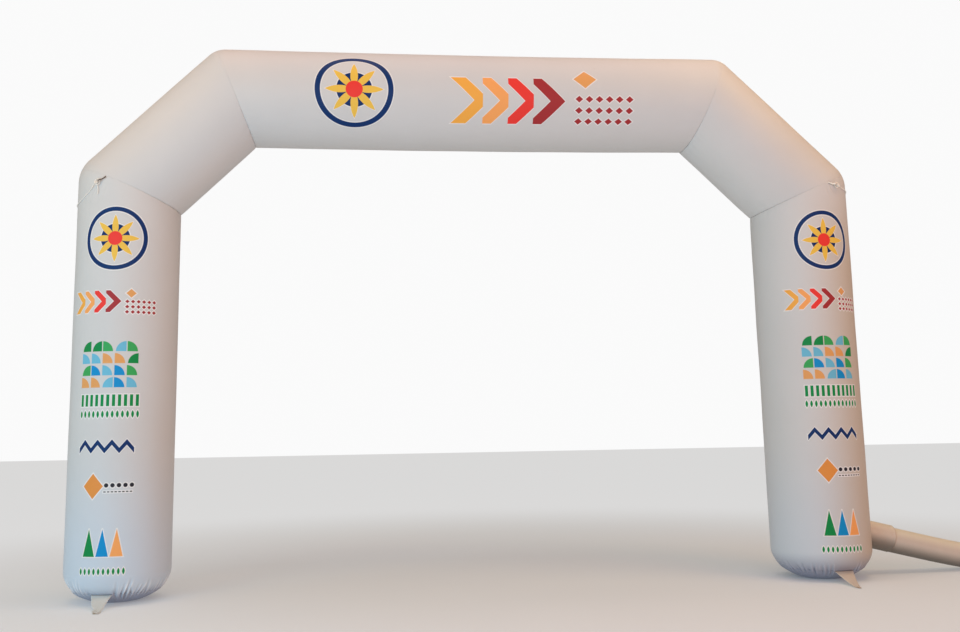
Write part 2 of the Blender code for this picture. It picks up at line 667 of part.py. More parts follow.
def make_guy(row):
    names = {-1: f"{row['name']}_front", 1: f"{row['name']}_rear"}
    for face, name in names.items():
        make_guy_loop(row, face, name)
        make_guy_knot(row, face, name)
    table = LEFT_TIE if row["side"] < 0 else RIGHT_TIE
    clear_of_knot = row["knot"] - row["strap"] / 2 + KNOT_SIZE[2] + GAP
    starts = []
    for face in (-1, 1):
        frame = guy_frame(row, face)
        starts.append([guy_point(frame, clear_of_knot, LOOP_CENTRE),
                       guy_point(frame, clear_of_knot + 0.012, LOOP_CENTRE - 0.002)])
    middle = []
    for azimuth, drop, clear in table:
        middle.append(on_leg(row["side"], azimuth, row["height"] - drop, clear, -1))
    points = starts[0] + middle + starts[1][::-1]
    make_rope(f"guy_tie_{row['name']}", points, (0.78, 0.73, 0.64))


def make_tail(row):
    frame = guy_frame(row, -1)
    lump = row["knot"] - row["strap"] / 2
    past_ring_centre = lump - (row["strap"] / 2 - LOOP_RADIUS + KNOT_RING)
    under = math.sqrt((KNOT_RING + ROPE_RADIUS) ** 2 - past_ring_centre ** 2) + GAP
    start = guy_point(frame, lump, LOOP_CENTRE, under)
    level = Vector((0, 0, 1)).cross(frame[2])
    points = [start + level * side + Vector((0, 0, -down)) + frame[2] * out for side, down, out in TAIL_ROUTE]
    make_rope("tail_left_front", points, (0.70, 0.66, 0.58))


# ---- build ----
def build():
    for side_name in SIDES:
        make_leg(side_name)
        make_base_disc(side_name)
        make_shoulder(side_name)
        make_tab(side_name)
        make_eyelet(side_name)
    make_beam()
    make_collar()
    make_duct()
    for values in GUY_ROWS:
        row = dict(zip(GUY_COLUMNS, values))
        make_guy(row)
        if row["side"] < 0:
            make_tail(row)


def stand_on_origin():
    """Put the origin under the middle of the whole part, on the ground."""
    bpy.context.view_layer.update()
    graph = bpy.context.evaluated_depsgraph_get()
    lows, highs = [], []
    for piece in ARCH.objects:
        if piece.type == "EMPTY":
            continue
        shown = piece.evaluated_get(graph)
        mesh = shown.to_mesh()
        flat = np.empty(len(mesh.vertices) * 3)
        mesh.vertices.foreach_get("co", flat)
        shown.to_mesh_clear()
        spots = flat.reshape(-1, 3) @ np.array(piece.matrix_world.to_3x3()).T + piece.matrix_world.translation
        lows.append(spots.min(axis=0))
        highs.append(spots.max(axis=0))
    low, high = np.min(lows, axis=0), np.max(highs, axis=0)
    ORIGIN.location = (-(low[0] + high[0]) / 2, -(low[1] + high[1]) / 2, -low[2])
    bpy.context.view_layer.update()
    print("arch box", (high - low).round(4), "origin moved by", [round(v, 5) for v in ORIGIN.location])


build()
stand_on_origin()
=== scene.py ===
# %% [markdown]
# # An inflatable event arch
# Five fat cloth tubes are sewn together on slanted seams and blown up tight, so that
# each panel becomes a smooth cylinder. The feet are gathered into round base discs,
# like the end of a bolster, and a slim cloth duct brings the air in at the right foot.
# This lesson dresses a finished construction: every new surface is a formula on a grid.

# %% Load the construction
import math

import bmesh
import bpy
import numpy as np
from mathutils import Matrix, Vector


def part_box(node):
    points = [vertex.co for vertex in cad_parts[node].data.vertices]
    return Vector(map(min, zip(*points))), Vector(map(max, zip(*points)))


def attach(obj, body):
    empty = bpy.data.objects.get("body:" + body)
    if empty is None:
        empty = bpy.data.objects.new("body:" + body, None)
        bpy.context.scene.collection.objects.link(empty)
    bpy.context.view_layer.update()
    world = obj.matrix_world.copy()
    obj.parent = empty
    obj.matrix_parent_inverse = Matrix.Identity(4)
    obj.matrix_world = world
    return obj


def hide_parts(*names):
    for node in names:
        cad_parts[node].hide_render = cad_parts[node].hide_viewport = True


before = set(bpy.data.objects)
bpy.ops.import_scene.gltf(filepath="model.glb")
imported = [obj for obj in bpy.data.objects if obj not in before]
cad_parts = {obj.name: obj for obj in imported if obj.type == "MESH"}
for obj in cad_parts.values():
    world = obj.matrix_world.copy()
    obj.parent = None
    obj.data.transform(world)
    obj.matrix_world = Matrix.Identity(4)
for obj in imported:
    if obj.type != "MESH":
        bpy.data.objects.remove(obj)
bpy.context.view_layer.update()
beam_low, beam_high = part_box("beam")
MIDDLE = np.array(((beam_low[0] + beam_high[0]) / 2, (beam_low[1] + beam_high[1]) / 2, 0))
print("the arch's middle stands at", MIDDLE.round(4))

# %% [markdown]
# ## The driving sizes
# Tube radius, the corners of the tube's centre line and the foot's profile give every
# panel its shape. X runs along the arch, -Y is its front and +Z is up, all in metres,
# measured from the middle of the arch. A few small sums are used again and again.

# %% Driving sizes
TUBE_RADIUS = 0.50
SHOULDER = np.array((3.525, 0, 4.02))
BEAM_END = np.array((2.48, 0, 5.025))
FOOT_SPLAY = 0.036
BEAM_SAG = 0.012
SHOULDER_ROUNDING = 0.35
BEAM_ROUNDING = 0.26
CLOTH = 0.002
SEAM_GAP = 0.0003
SIDES = {"left": -1, "right": 1}
UP = np.array((0, 0, 1.0))


def leg_axis_x(height):
    """Distance of a leg's axis from the middle: the feet stand a little wider apart."""
    return SHOULDER[0] + FOOT_SPLAY * (1 - height / SHOULDER[2])


def unit(vectors):
    """The same directions, one metre long."""
    vectors = np.asarray(vectors, dtype=float)
    return vectors / np.linalg.norm(vectors, axis=-1, keepdims=True)


def around(turn, first, second):
    """Directions that turn from the first one towards the second."""
    return np.cos(turn)[..., None] * first + np.sin(turn)[..., None] * second


def turn_from(azimuth, at):
    """The angle from one place round a tube to another, from minus to plus half a turn."""
    return (azimuth - at + math.pi) % (2 * math.pi) - math.pi


def ramp(value, start, end):
    """0 before the start, 1 past the end, even between."""
    return np.clip((value - start) / (end - start), 0, 1)


def distances_along(points):
    """How far each point of a line is from its first one, measured along the line."""
    return np.concatenate(([0], np.cumsum(np.linalg.norm(np.diff(points, axis=0), axis=1))))


# %% [markdown]
# ## The camera
# An observer at eye height stands a little left of the middle, looks slightly up and
# holds a mild wide-angle lens. The small shift frames the arch without tilting it.

# %% Camera
EYE = np.array((-1.2822, -10.346, 1.575))
YAW, PITCH, ROLL = 0.1031, 0.1268, -0.0170
FOCAL_PIXELS = 1011.1
VIEW_WIDTH, VIEW_HEIGHT = 960, 632
VIEW_CENTRE = (456.6, 300.8)
SENSOR = 36.0


def make_camera():
    """Aim by yaw, then pitch, then roll, and write the three directions as a matrix."""
    ahead = Vector((math.sin(YAW) * math.cos(PITCH), math.cos(YAW) * math.cos(PITCH), math.sin(PITCH)))
    right = Vector((math.cos(YAW), -math.sin(YAW), 0))
    up = right.cross(ahead)
    rolled_right = right * math.cos(ROLL) + up * math.sin(ROLL)
    lens = bpy.data.cameras.new("eye")
    lens.sensor_width = SENSOR
    lens.lens = FOCAL_PIXELS * SENSOR / VIEW_WIDTH
    lens.shift_x = (VIEW_WIDTH / 2 - VIEW_CENTRE[0]) / VIEW_WIDTH
    lens.shift_y = (VIEW_CENTRE[1] - VIEW_HEIGHT / 2) / VIEW_WIDTH
    camera = bpy.data.objects.new("eye", lens)
    bpy.context.scene.collection.objects.link(camera)
    rolled_up = up * math.cos(ROLL) - right * math.sin(ROLL)
    turned = Matrix((rolled_right, rolled_up, -ahead)).transposed()
    camera.matrix_world = Matrix.Translation(EYE + MIDDLE) @ turned.to_4x4()
    bpy.context.scene.camera = camera
    print(f"camera lens {lens.lens:.1f} mm at {camera.location.x:.2f}, {camera.location.y:.2f}")


make_camera()

# %% [markdown]
# ## Turning a formula into a mesh
# Every new surface below is a grid of points: rows run along the piece and columns run
# across or around it. One helper stores such a grid as a mesh, with a UV map in metres
# so that prints, stitches and weave can follow the cloth.

# %% A grid of points becomes a mesh
def grid_piece(name, points, material, uv=None, wrapped=False, inside=None):
    """Join neighbouring grid points by quads; a wrapped grid closes on its first column.

    inside is a point or an array of points behind the surface, which tells the way out.
    uv has the grid's rows, and one column more than the grid where that is wrapped.
    """
    rows, columns = points.shape[:2]
    number = np.arange(rows * columns).reshape(rows, columns)
    if wrapped:
        number = np.concatenate((number, number[:, :1]), axis=1)
    quads = np.stack((number[:-1, :-1], number[:-1, 1:], number[1:, 1:], number[1:, :-1]), axis=-1)
    spread = number.shape[1]
    seat = np.arange(rows * spread).reshape(rows, spread)
    uv_seats = np.stack((seat[:-1, :-1], seat[:-1, 1:], seat[1:, 1:], seat[1:, :-1]), axis=-1)
    flat = points.reshape(-1, 3)
    if inside is not None:
        corner = flat[quads.reshape(-1, 4)]
        normal = np.cross(corner[:, 1] - corner[:, 0], corner[:, 3] - corner[:, 0])
        behind = np.broadcast_to(inside, points.shape).reshape(-1, 3)[quads.reshape(-1, 4)[:, 0]]
        if np.sum(normal * (corner[:, 0] - behind)) < 0:
            quads, uv_seats = quads[..., ::-1], uv_seats[..., ::-1]
    mesh = bpy.data.meshes.new(name)
    mesh.from_pydata((flat + MIDDLE).tolist(), [], quads.reshape(-1, 4).tolist())
    if uv is not None:
        layer = mesh.uv_layers.new(name="cloth")
        layer.data.foreach_set("uv", uv.reshape(-1, 2)[uv_seats.reshape(-1)].ravel())
    mesh.shade_smooth()
    mesh.materials.append(material)
    piece = bpy.data.objects.new(name, mesh)
    bpy.context.scene.collection.objects.link(piece)
    return piece


def keep_relief(piece, relief):
    """Remember how far each point stands off the plain form, for the painted shade and highlights in the
    cloth's colour.
    """
    layer = piece.data.attributes.new("relief", "FLOAT", "POINT")
    layer.data.foreach_set("value", np.asarray(relief, dtype=np.float32).ravel())


def edit(piece, change):
    """Open the piece's mesh, let the change work on it, and put it back."""
    mesh = bmesh.new()
    mesh.from_mesh(piece.data)
    change(mesh)
    mesh.to_mesh(piece.data)
    mesh.free()
    piece.data.shade_smooth()


def close_holes(piece, sides, below=math.inf):
    """Fill the open rims whose points all lie below this height."""
    def fill(mesh):
        rims = [edge for edge in mesh.edges
                if edge.is_boundary and all(point.co.z < below for point in edge.verts)]
        bmesh.ops.holes_fill(mesh, edges=rims, sides=sides)

    edit(piece, fill)


def take_place(piece, node):
    """The finished piece rides on the arch and stands for its plain solid."""
    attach(piece, "root")
    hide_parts(node)
    return piece


def cloth_piece(name, slot, node, points, material, uv, offset=-1.0, **grid):
    """Cloth has two faces: the second one lies one thickness behind the first."""
    piece = grid_piece(name, points, material, uv, **grid)
    skin = piece.modifiers.new("thickness", "SOLIDIFY")
    skin.thickness, skin.offset = CLOTH, offset
    return take_place(piece, node)


# %% [markdown]
# ## Small calculators for materials
# A material's colour is worked out by chains of Math nodes. A Term stands for the end of
# such a chain: writing a sum with terms adds the nodes, so that a material reads like a
# few lines of arithmetic. finish_material plugs the results into the shader.

# %% Numbers and colours made of shader nodes
class Term:
    """A number, place or colour worked out by nodes; each sign in a sum adds a Math node."""

    def __init__(self, socket):
        self.socket, self.tree = socket, socket.id_data

    def __add__(self, other):
        return calc("ADD", self, other)

    def __sub__(self, other):
        return calc("SUBTRACT", self, other)

    def __rsub__(self, other):
        return calc("SUBTRACT", other, self)

    def __mul__(self, other):
        return calc("MULTIPLY", self, other)

    def __truediv__(self, other):
        return calc("DIVIDE", self, other)

    def __abs__(self):
        return calc("ABSOLUTE", self)


def feed(socket, value):
    """Plug a term in, or set the number or colour on the socket."""
    if isinstance(value, Term):
        value.tree.links.new(value.socket, socket)
    else:
        socket.default_value = (*value, 1.0) if isinstance(value, tuple) else value


def output(node, name, sockets):
    """One output of a node, as a term, after its sockets are fed by their names or numbers."""
    for key, value in sockets.items():
        feed(node.inputs[key], value)
    return Term(node.outputs[name])


def calc(operation, *values):
    """One Math node, whose sockets take the terms and numbers in order."""
    tree = next(value.tree for value in values if isinstance(value, Term))
    node = tree.nodes.new("ShaderNodeMath")
    node.operation = operation
    return output(node, 0, dict(enumerate(values)))


def sine(term):
    return calc("SINE", term)


def between(term, low, high):
    """0 below the low end, 1 above the high end, an S curve between."""
    node = term.tree.nodes.new("ShaderNodeMapRange")
    node.interpolation_type = "SMOOTHSTEP"
    return output(node, 0, {"Value": term, "From Min": low, "From Max": high})


def coordinate(place, number):
    """One of a place's three coordinates: 0 across the span, 1 in depth, 2 upwards."""
    return output(place.tree.nodes.new("ShaderNodeSeparateXYZ"), number, {0: place})


def noise(place, scale, detail=2.0, roughness=0.5):
    """Soft random patches, so many to the metre."""
    return output(place.tree.nodes.new("ShaderNodeTexNoise"), "Fac",
                  {"Vector": place, "Scale": scale, "Detail": detail, "Roughness": roughness})


def mix_colour(share, first, second):
    """The first colour where the share is 0 and the second where it is 1."""
    node = share.tree.nodes.new("ShaderNodeMix")
    node.data_type = "RGBA"
    return output(node, 2, {0: share, 6: first, 7: second})


def lay_over(colour, *layers):
    """Lay tints over a colour, one after another, each with its share."""
    for share, tint in layers:
        colour = mix_colour(share, colour, tint)
    return colour


def scaled(numbers, share):
    return tuple(share * number for number in numbers)


def new_material(name, roughness, specular=0.5, metallic=0.0):
    """A material, and the place of a point on the object."""
    material = bpy.data.materials.new(name)
    material.use_nodes = True
    tree = material.node_tree
    output(tree.nodes["Principled BSDF"], 0,
           {"Roughness": roughness, "Specular IOR Level": specular, "Metallic": metallic})
    return material, output(tree.nodes.new("ShaderNodeTexCoord"), "Object", {})


def cloth_uv(place):
    """Metres across and along the cloth, from the mesh's UV map."""
    node = place.tree.nodes.new("ShaderNodeUVMap")
    node.uv_map = "cloth"
    return [coordinate(output(node, 0, {}), number) for number in (0, 1)]


def finish_material(material, colour, height, distance, strength=1.0, **more):
    """The shader's colour, a bump and more; distance is how many metres a height of 1 is."""
    tree = material.node_tree
    bump = output(tree.nodes.new("ShaderNodeBump"), 0,
                  {"Height": height, "Distance": distance, "Strength": strength})
    output(tree.nodes["Principled BSDF"], 0, {"Base Color": colour, "Normal": bump, **more})
    return material


# %% [markdown]
# ## Cord
# A cord is three strands laid round each other. Its section is therefore not a circle
# but three soft lobes, and the lobes turn as the section travels along the route.

# %% Rope material
STRANDS = 3
# fibres: how fast their sine runs along the rope, and how much each turn round it adds
FIBRES = (5200.0, 40.0)


def make_rope_material():
    """Cream fibre, with painted shade in the grooves between strands, and dusty in patches."""
    material, place = new_material("rope_fibre", 0.85, 0.25)
    across, along = cloth_uv(place)
    groove = sine(across * (2 * STRANDS * math.pi)) * 0.5 + 0.5
    # patches of dust, and painted shade in the grooves between strands
    shade = noise(place, 60.0, 3.0) * 0.5 + groove * 0.35
    colour = mix_colour(shade, (0.80, 0.75, 0.68), (1.0, 0.98, 0.93))
    return finish_material(material, colour, sine(along * FIBRES[0] + across * FIBRES[1]), 0.0002, 0.5)


ROPE = make_rope_material()

# %% A rope along a route
ROPE_RADIUS = 0.004
LAY_LENGTH = 0.030
LOBE_DEPTH = 0.10
ROPE_COLUMNS = 15
ROPE_STEP = 0.004
CURVE_STEPS = 24


def smooth_route(points, step):
    """Points at even steps along a smooth curve through the route's own points.

    Between two points the curve is a cubic whose slope at each is half the way from the
    point before to the point after.
    """
    knots = np.asarray(points, dtype=float)
    knots = np.vstack((2 * knots[0] - knots[1], knots, 2 * knots[-1] - knots[-2]))
    before, start, end, after = knots[:-3], knots[1:-2], knots[2:-1], knots[3:]
    before, start, end, after = (row[:, None] for row in (before, start, end, after))
    t = np.linspace(0, 1, CURVE_STEPS, endpoint=False)[None, :, None]
    bend = 2 * start + (end - before) * t + (2 * before - 5 * start + 4 * end - after) * t ** 2
    fine = 0.5 * (bend + (3 * start - before - 3 * end + after) * t ** 3)
    fine = np.vstack((fine.reshape(-1, 3), knots[-2]))
    length = distances_along(fine)
    even = np.linspace(0, length[-1], max(4, round(length[-1] / step) + 1))
    return np.column_stack([np.interp(even, length, fine[:, k]) for k in range(3)])


def route_length(route):
    return float(distances_along(route)[-1])


def rope_surface(route, radius, reference):
    """A lobed section carried along the route: three humps turn once per lay length.

    The section's two directions are square to the route, and the first of them is
    square to the reference direction too. The ends are drawn in to close the rope.
    """
    way = unit(np.gradient(route, axis=0))
    side = unit(np.cross(way, reference))
    up = np.cross(side, way)
    along = distances_along(route)[:, None]
    turn = np.arange(ROPE_COLUMNS) * 2 * math.pi / ROPE_COLUMNS
    strand = turn - 2 * math.pi * along / LAY_LENGTH
    reach = radius * (0.93 + LOBE_DEPTH * np.cos(STRANDS * strand))
    from_end = np.minimum(along, along[-1] - along)
    reach *= np.sqrt(np.clip(from_end / radius, 0.02, 1))
    points = route[:, None] + reach[..., None] * around(turn, side[:, None], up[:, None])
    turns = np.linspace(0, 1, ROPE_COLUMNS + 1) - along / LAY_LENGTH
    return points, np.stack(np.broadcast_arrays(turns, along), axis=-1)


def make_rope(name, *strands):
    """One piece from one or more closed ropes, each a route and its reference direction."""
    parts = []
    for i, (route, reference) in enumerate(strands):
        points, uv = rope_surface(route, ROPE_RADIUS, np.array(reference, dtype=float))
        parts.append(grid_piece(f"{name}_{i}", points, ROPE, uv, wrapped=True, inside=route[:, None]))
        close_holes(parts[-1], sides=ROPE_COLUMNS)
    whole, *others = parts

    def add_others(mesh):
        for part in others:
            mesh.from_mesh(part.data)

    edit(whole, add_others)
    for part in others:
        old = part.data
        bpy.data.objects.remove(part)
        bpy.data.meshes.remove(old)
    whole.name = whole.data.name = name
    return whole


# %% [markdown]
# ## Where the guy lines start
# On each leg, just under the shoulder, a short strap of webbing is sewn on front and
# back. A slack tie runs round the outside of the leg from the front strap to the rear
# one. Everything here is placed by its angle from the leg's face and its height.

# %% Guy points
# knot: where its middle comes, from the strap's start; clear: the lower layer of webbing,
# its middle above the tube's circle. Two places along the pull, from the strap's middle,
# follow from these: lump, the knot's middle, and ring, the centre of its ring.
GUY_COLUMNS = ("name", "side", "azimuth", "height", "pull_deg", "strap", "knot", "clear")
GUY_ROWS = (
    ("left", -1, 15.4, 4.066, 29.0, 0.083, 0.110, 0.0011),
    ("right", 1, 15.4, 4.072, 13.0, 0.090, 0.118, 0.0006),
)
FACES = {"front": -1, "rear": 1}
LOOP_RADIUS = 0.0130
LOOP_CENTRE = 0.0150
KNOT_HALF_LENGTH = 0.021
KNOT_RING = 0.028


def on_leg(side, azimuth, height, off, face):
    """A point off a leg, by its azimuth in degrees from the front (-1) or rear (+1) face."""
    turn = math.radians(azimuth)
    reach = TUBE_RADIUS + off
    across = side * (leg_axis_x(height) + reach * math.sin(turn))
    return np.array((across, face * reach * math.cos(turn), height))


def guy_frame(row, face):
    """The strap's middle on the cloth, and its directions along, outward and wide."""
    half = row["strap"] / 2
    pull = math.radians(row["pull_deg"])
    azimuth = row["azimuth"] + math.degrees(half * math.cos(pull) / TUBE_RADIUS)
    turn = math.radians(azimuth)
    middle = on_leg(row["side"], azimuth, row["height"] - half * math.sin(pull), 0.0, face)
    outward = np.array((row["side"] * math.sin(turn), face * math.cos(turn), 0))
    level = np.array((row["side"] * math.cos(turn), -face * math.sin(turn), 0))
    along = level * math.cos(pull) - UP * math.sin(pull)
    return middle, along, outward, np.cross(outward, along)


def guy_point(place, along, outward, across=0.0):
    """A point, or a grid of points, by distances from the strap's middle."""
    return place[0] + np.stack(np.broadcast_arrays(along, outward, across), axis=-1) @ np.array(place[1:])


GUYS = [dict(zip(GUY_COLUMNS, values)) for values in GUY_ROWS]
for row in GUYS:
    row["lump"] = row["knot"] - row["strap"] / 2
    row["ring"] = row["strap"] / 2 - LOOP_RADIUS + KNOT_RING
print("guy points:", [row["name"] for row in GUYS])

# %% [markdown]
# ## Knots
# Each tie ends in a knot: the cord goes through the strap's eye as a ring, and then
# takes turns round itself. The ring is a circle and the turns are a helix.

# %% Knots
WRAP_HALF_WIDTH = 0.0130
WRAP_HALF_DEPTH = 0.0085
WRAP_TURNS = 3.5
RING_TURN = (24, 336)
RING_POINTS, WRAP_POINTS, CORE_POINTS = 60, 110, 8


def make_knot(row, face_name, with_tail):
    """Ring: a circle through the eye. Turns: a helix round the tie, close together."""
    place = guy_frame(row, FACES[face_name])
    outward, wide = place[2:]
    turn = np.radians(np.linspace(*RING_TURN, RING_POINTS))
    ring = guy_point(place, row["ring"] + KNOT_RING * np.cos(turn), LOOP_CENTRE, KNOT_RING * np.sin(turn))
    wrap = np.linspace(0, WRAP_TURNS * 2 * math.pi, WRAP_POINTS)
    slide = np.linspace(-1, 1, WRAP_POINTS) * (KNOT_HALF_LENGTH - ROPE_RADIUS - SEAM_GAP)
    turns = guy_point(place, row["lump"] + slide, LOOP_CENTRE + WRAP_HALF_DEPTH * np.sin(wrap),
                      WRAP_HALF_WIDTH * np.cos(wrap))
    core = guy_point(place, row["lump"] + np.linspace(-1, 1, CORE_POINTS) * KNOT_HALF_LENGTH, LOOP_CENTRE)
    strands = [(ring, outward), (turns, outward + 0.3 * wide), (core, outward)]
    if with_tail:
        drop = tail_start_drop(row)
        lead = guy_point(place, row["lump"] + np.array((0.004, 0.006, 0)), LOOP_CENTRE,
                         np.array((WRAP_HALF_WIDTH, 0.6 * drop, drop - SEAM_GAP)))
        strands.append((smooth_route(lead, ROPE_STEP / 2), outward))
    name = f"knot_{row['name']}_{face_name}"
    return take_place(make_rope(f"{name}_tied", *strands), name)


def tail_start_drop(row):
    """The tail leaves just clear of the ring's lower side."""
    return math.sqrt((KNOT_RING + ROPE_RADIUS) ** 2 - (row["lump"] - row["ring"]) ** 2) + SEAM_GAP


KNOTS = {(row["name"], face): make_knot(row, face, (row["name"], face) == ("left", "front"))
         for row in GUYS for face in FACES}
print("knots:", [piece.name for piece in KNOTS.values()])

# %% [markdown]
# ## Ties and tail
# A tie is a fixed length of slack cord. It drops under its own weight and hangs close
# round the tube's side, so its route is a list of angles round the leg with a drop at
# each. The left front knot keeps a short free end.

# %% Ties and tail
# azimuth from the face in degrees, height below the guy point, rope centre above the cloth
TIES = {
    "left": (
        (34, 0.108, 0.0070), (41, 0.150, 0.0052), (49, 0.184, 0.0052), (60, 0.206, 0.0052),
        (74, 0.212, 0.0052), (90, 0.213, 0.0052), (106, 0.212, 0.0052), (120, 0.206, 0.0052),
        (131, 0.184, 0.0052), (139, 0.150, 0.0052), (146, 0.108, 0.0070),
    ),
    "right": (
        (40, 0.039, 0.0070), (50, 0.043, 0.0052), (62, 0.045, 0.0052), (76, 0.046, 0.0052),
        (90, 0.046, 0.0052), (104, 0.046, 0.0052), (118, 0.045, 0.0052), (130, 0.043, 0.0052),
        (140, 0.039, 0.0070),
    ),
}
# past the knot a tie runs straight for this far, and sinks this much towards the cloth
TIE_LEAD = (0.012, 0.002)
# the free end: sideways, down and outward from the underside of the knot
TAIL_ROUTE = (
    (0.000, 0.000, 0.0000), (0.002, 0.016, -0.0010), (0.005, 0.040, -0.0040),
    (0.003, 0.066, -0.0065), (0.000, 0.088, -0.0075),
)


def make_tie(row):
    """Round the leg by azimuth; straight out of the knot at each end."""
    clear = row["lump"] + KNOT_HALF_LENGTH + SEAM_GAP
    front, rear = (guy_point(guy_frame(row, face), np.array((clear, clear + TIE_LEAD[0])),
                             np.array((LOOP_CENTRE, LOOP_CENTRE - TIE_LEAD[1]))) for face in FACES.values())
    middle = [on_leg(row["side"], azimuth, row["height"] - drop, off, -1)
              for azimuth, drop, off in TIES[row["name"]]]
    route = smooth_route(np.vstack((front, middle, rear[::-1])), ROPE_STEP)
    tie = make_rope(f"tie_{row['name']}", (route, UP))
    take_place(tie, f"guy_tie_{row['name']}")
    print(f"tie_{row['name']} is {route_length(route):.3f} m long")


def make_tail(row):
    """It hangs straight down from the knot and bends in towards the cloth."""
    place = guy_frame(row, FACES["front"])
    outward = place[2]
    start = guy_point(place, row["lump"], LOOP_CENTRE, tail_start_drop(row))
    aside, down, out = np.array(TAIL_ROUTE).T[..., None]
    route = smooth_route(start + np.cross(UP, outward) * aside + outward * out - UP * down, ROPE_STEP / 2)
    tail = make_rope("tail_left", (route, outward))
    take_place(tail, "tail_left_front")
    print(f"tail is {route_length(route):.3f} m long")


for guy in GUYS:
    make_tie(guy)
make_tail(GUYS[0])

# %% [markdown]
# ## White tube cloth
# The tubes are coated polyester: a tight plain weave under a thin satin film, of one
# white throughout, with fine threads and a little grime close up. Prints are inks on the
# film, over a pale underlay that shows as a thin rim. On the legs the colour carries
# painted light: a painted cool light low down, a painted warm shade on the right leg's
# outer side, painted shade in the pleats' valleys and under the feet, and painted
# highlights on the pleats' ridges.

# %% Inks
INKS = {
    "navy": (0.0, 0.028, 0.135),
    "yellow": (0.84, 0.53, 0.08),
    "amber": (0.90, 0.42, 0.07),
    "red": (0.84, 0.045, 0.035),
    "orange": (0.93, 0.39, 0.12),
    "clay": (0.76, 0.29, 0.06),
    "maroon": (0.37, 0.030, 0.035),
    "ochre": (0.76, 0.36, 0.12),
    "leaf": (0.0, 0.25, 0.06),
    "sky": (0.15, 0.49, 0.68),
    "blue": (0.0, 0.27, 0.62),
    "lime": (0.04, 0.38, 0.10),
    "black": (0.02, 0.02, 0.03),
}
UNDERLAY = (0.80, 0.80, 0.80)
UNDERLAY_RIM = 0.009
INK_EDGE = 0.004


# %% [markdown]
# ## Print shapes
# A printed shape is a distance: how far a point of the cloth lies outside its outline,
# in metres. Ink goes where that distance is below zero. A row of equal shapes is one
# shape whose place repeats, and the number in the row picks the ink.

# %% Distance of a point from each kind of outline
def plane_length(x, y):
    return calc("SQRT", x * x + y * y)


def shape_disc(x, y, width, height):
    """Length of (x, y) minus the radius; a disc has no height of its own."""
    return plane_length(x, y) - width / 2


def shape_ring(x, y, width, height):
    """Distance from a circle, minus half the ring's thickness, which is its height."""
    return abs(plane_length(x, y) - (width - height) / 2) - height / 2


def shape_diamond(x, y, width, height):
    """Both distances from the middle, each as a share of its half size, add up to one."""
    return (abs(x) * (2 / width) + abs(y) * (2 / height) - 1.0) * (min(width, height) / 2.8)


def shape_bar(x, y, width, height):
    """The larger of the two distances past the half sizes."""
    return calc("MAXIMUM", abs(x) - width / 2, abs(y) - height / 2)


def shape_chevron(x, y, width, height):
    """A bar whose middle is pushed forward: x loses a share of the distance from the middle."""
    return shape_bar(abs(y) + (x - height / 4), y, width, height)


def shape_pennant(x, y, width, height):
    """A triangle point up: its sides draw in evenly with height."""
    return calc("MAXIMUM", y * (width / 2 / height) + (abs(x) - width / 4), abs(y) - height / 2)


def shape_leaf(x, y, width, height):
    """The overlap of two equal discs beside each other."""
    radius = (width ** 2 + height ** 2) / (4 * width)
    return plane_length(abs(x) + (radius - width / 2), y) - radius


def shape_star(x, y, width, height):
    """A disc whose radius falls and rises eight times round, between height and width."""
    wave = calc("PINGPONG", calc("ARCTAN2", y, x) * (4 / math.pi), 0.5)
    return plane_length(x, y) - (wave * (height - width) + width / 2)


def shape_zigzag(x, y, width, height):
    """Distance from a line that swings up and down four times, within the width."""
    step = width / 8
    line = calc("PINGPONG", x + width / 2, step) * (-0.6 * height / step) + (y + 0.3 * height)
    return calc("MAXIMUM", abs(line) - 0.2 * height, abs(x) - width / 2)


SHAPES = {
    "disc": shape_disc, "ring": shape_ring, "diamond": shape_diamond, "bar": shape_bar,
    "chevron": shape_chevron, "pennant": shape_pennant, "leaf": shape_leaf,
    "star": shape_star, "zigzag": shape_zigzag,
}


# %% [markdown]
# ## Laying the prints
# Every line of a print table is one row of shapes: kind, inks, the middle of the row,
# the size of one shape, how many there are and how far apart. All of them are plain
# geometry: a flower in a ring, chevrons, diamonds, quarter tiles, bars, leaves, a zigzag
# and pennants.

# %% Print tables
# kind, inks, x, y, width, height, count, pitch
LEG_PRINTS = (
    ("ring", ("navy",), -0.024, 3.459, 0.616, 0.042, 1, 1),
    ("disc", ("navy",), -0.024, 3.459, 0.280, 0, 1, 1),
    ("star", ("yellow",), -0.024, 3.459, 0.460, 0.115, 1, 1),
    ("disc", ("red",), -0.024, 3.459, 0.136, 0, 1, 1),
    ("chevron", ("amber", "orange", "red", "maroon"), -0.208, 2.847, 0.070, 0.210, 4, 0.118),
    ("diamond", ("ochre",), 0.145, 2.925, 0.095, 0.085, 1, 1),
    *(("diamond", ("maroon",), 0.240, y, 0.040, 0.036, 6, 0.052) for y in (2.845, 2.795, 2.745)),
    ("bar", ("leaf",), -0.039, 1.905, 0.030, 0.110, 11, 0.054),
    ("leaf", ("leaf",), -0.039, 1.775, 0.026, 0.070, 13, 0.046),
    ("zigzag", ("navy",), -0.054, 1.475, 0.540, 0.130, 1, 1),
    ("diamond", ("clay",), -0.155, 1.107, 0.200, 0.235, 1, 1),
    ("disc", ("black",), 0.090, 1.115, 0.040, 0, 5, 0.058),
    ("bar", ("black",), 0.080, 1.055, 0.022, 0.010, 8, 0.034),
    ("pennant", ("leaf", "blue", "orange"), -0.045, 0.590, 0.118, 0.250, 3, 0.130),
    ("leaf", ("leaf",), -0.048, 0.330, 0.024, 0.062, 10, 0.045),
)
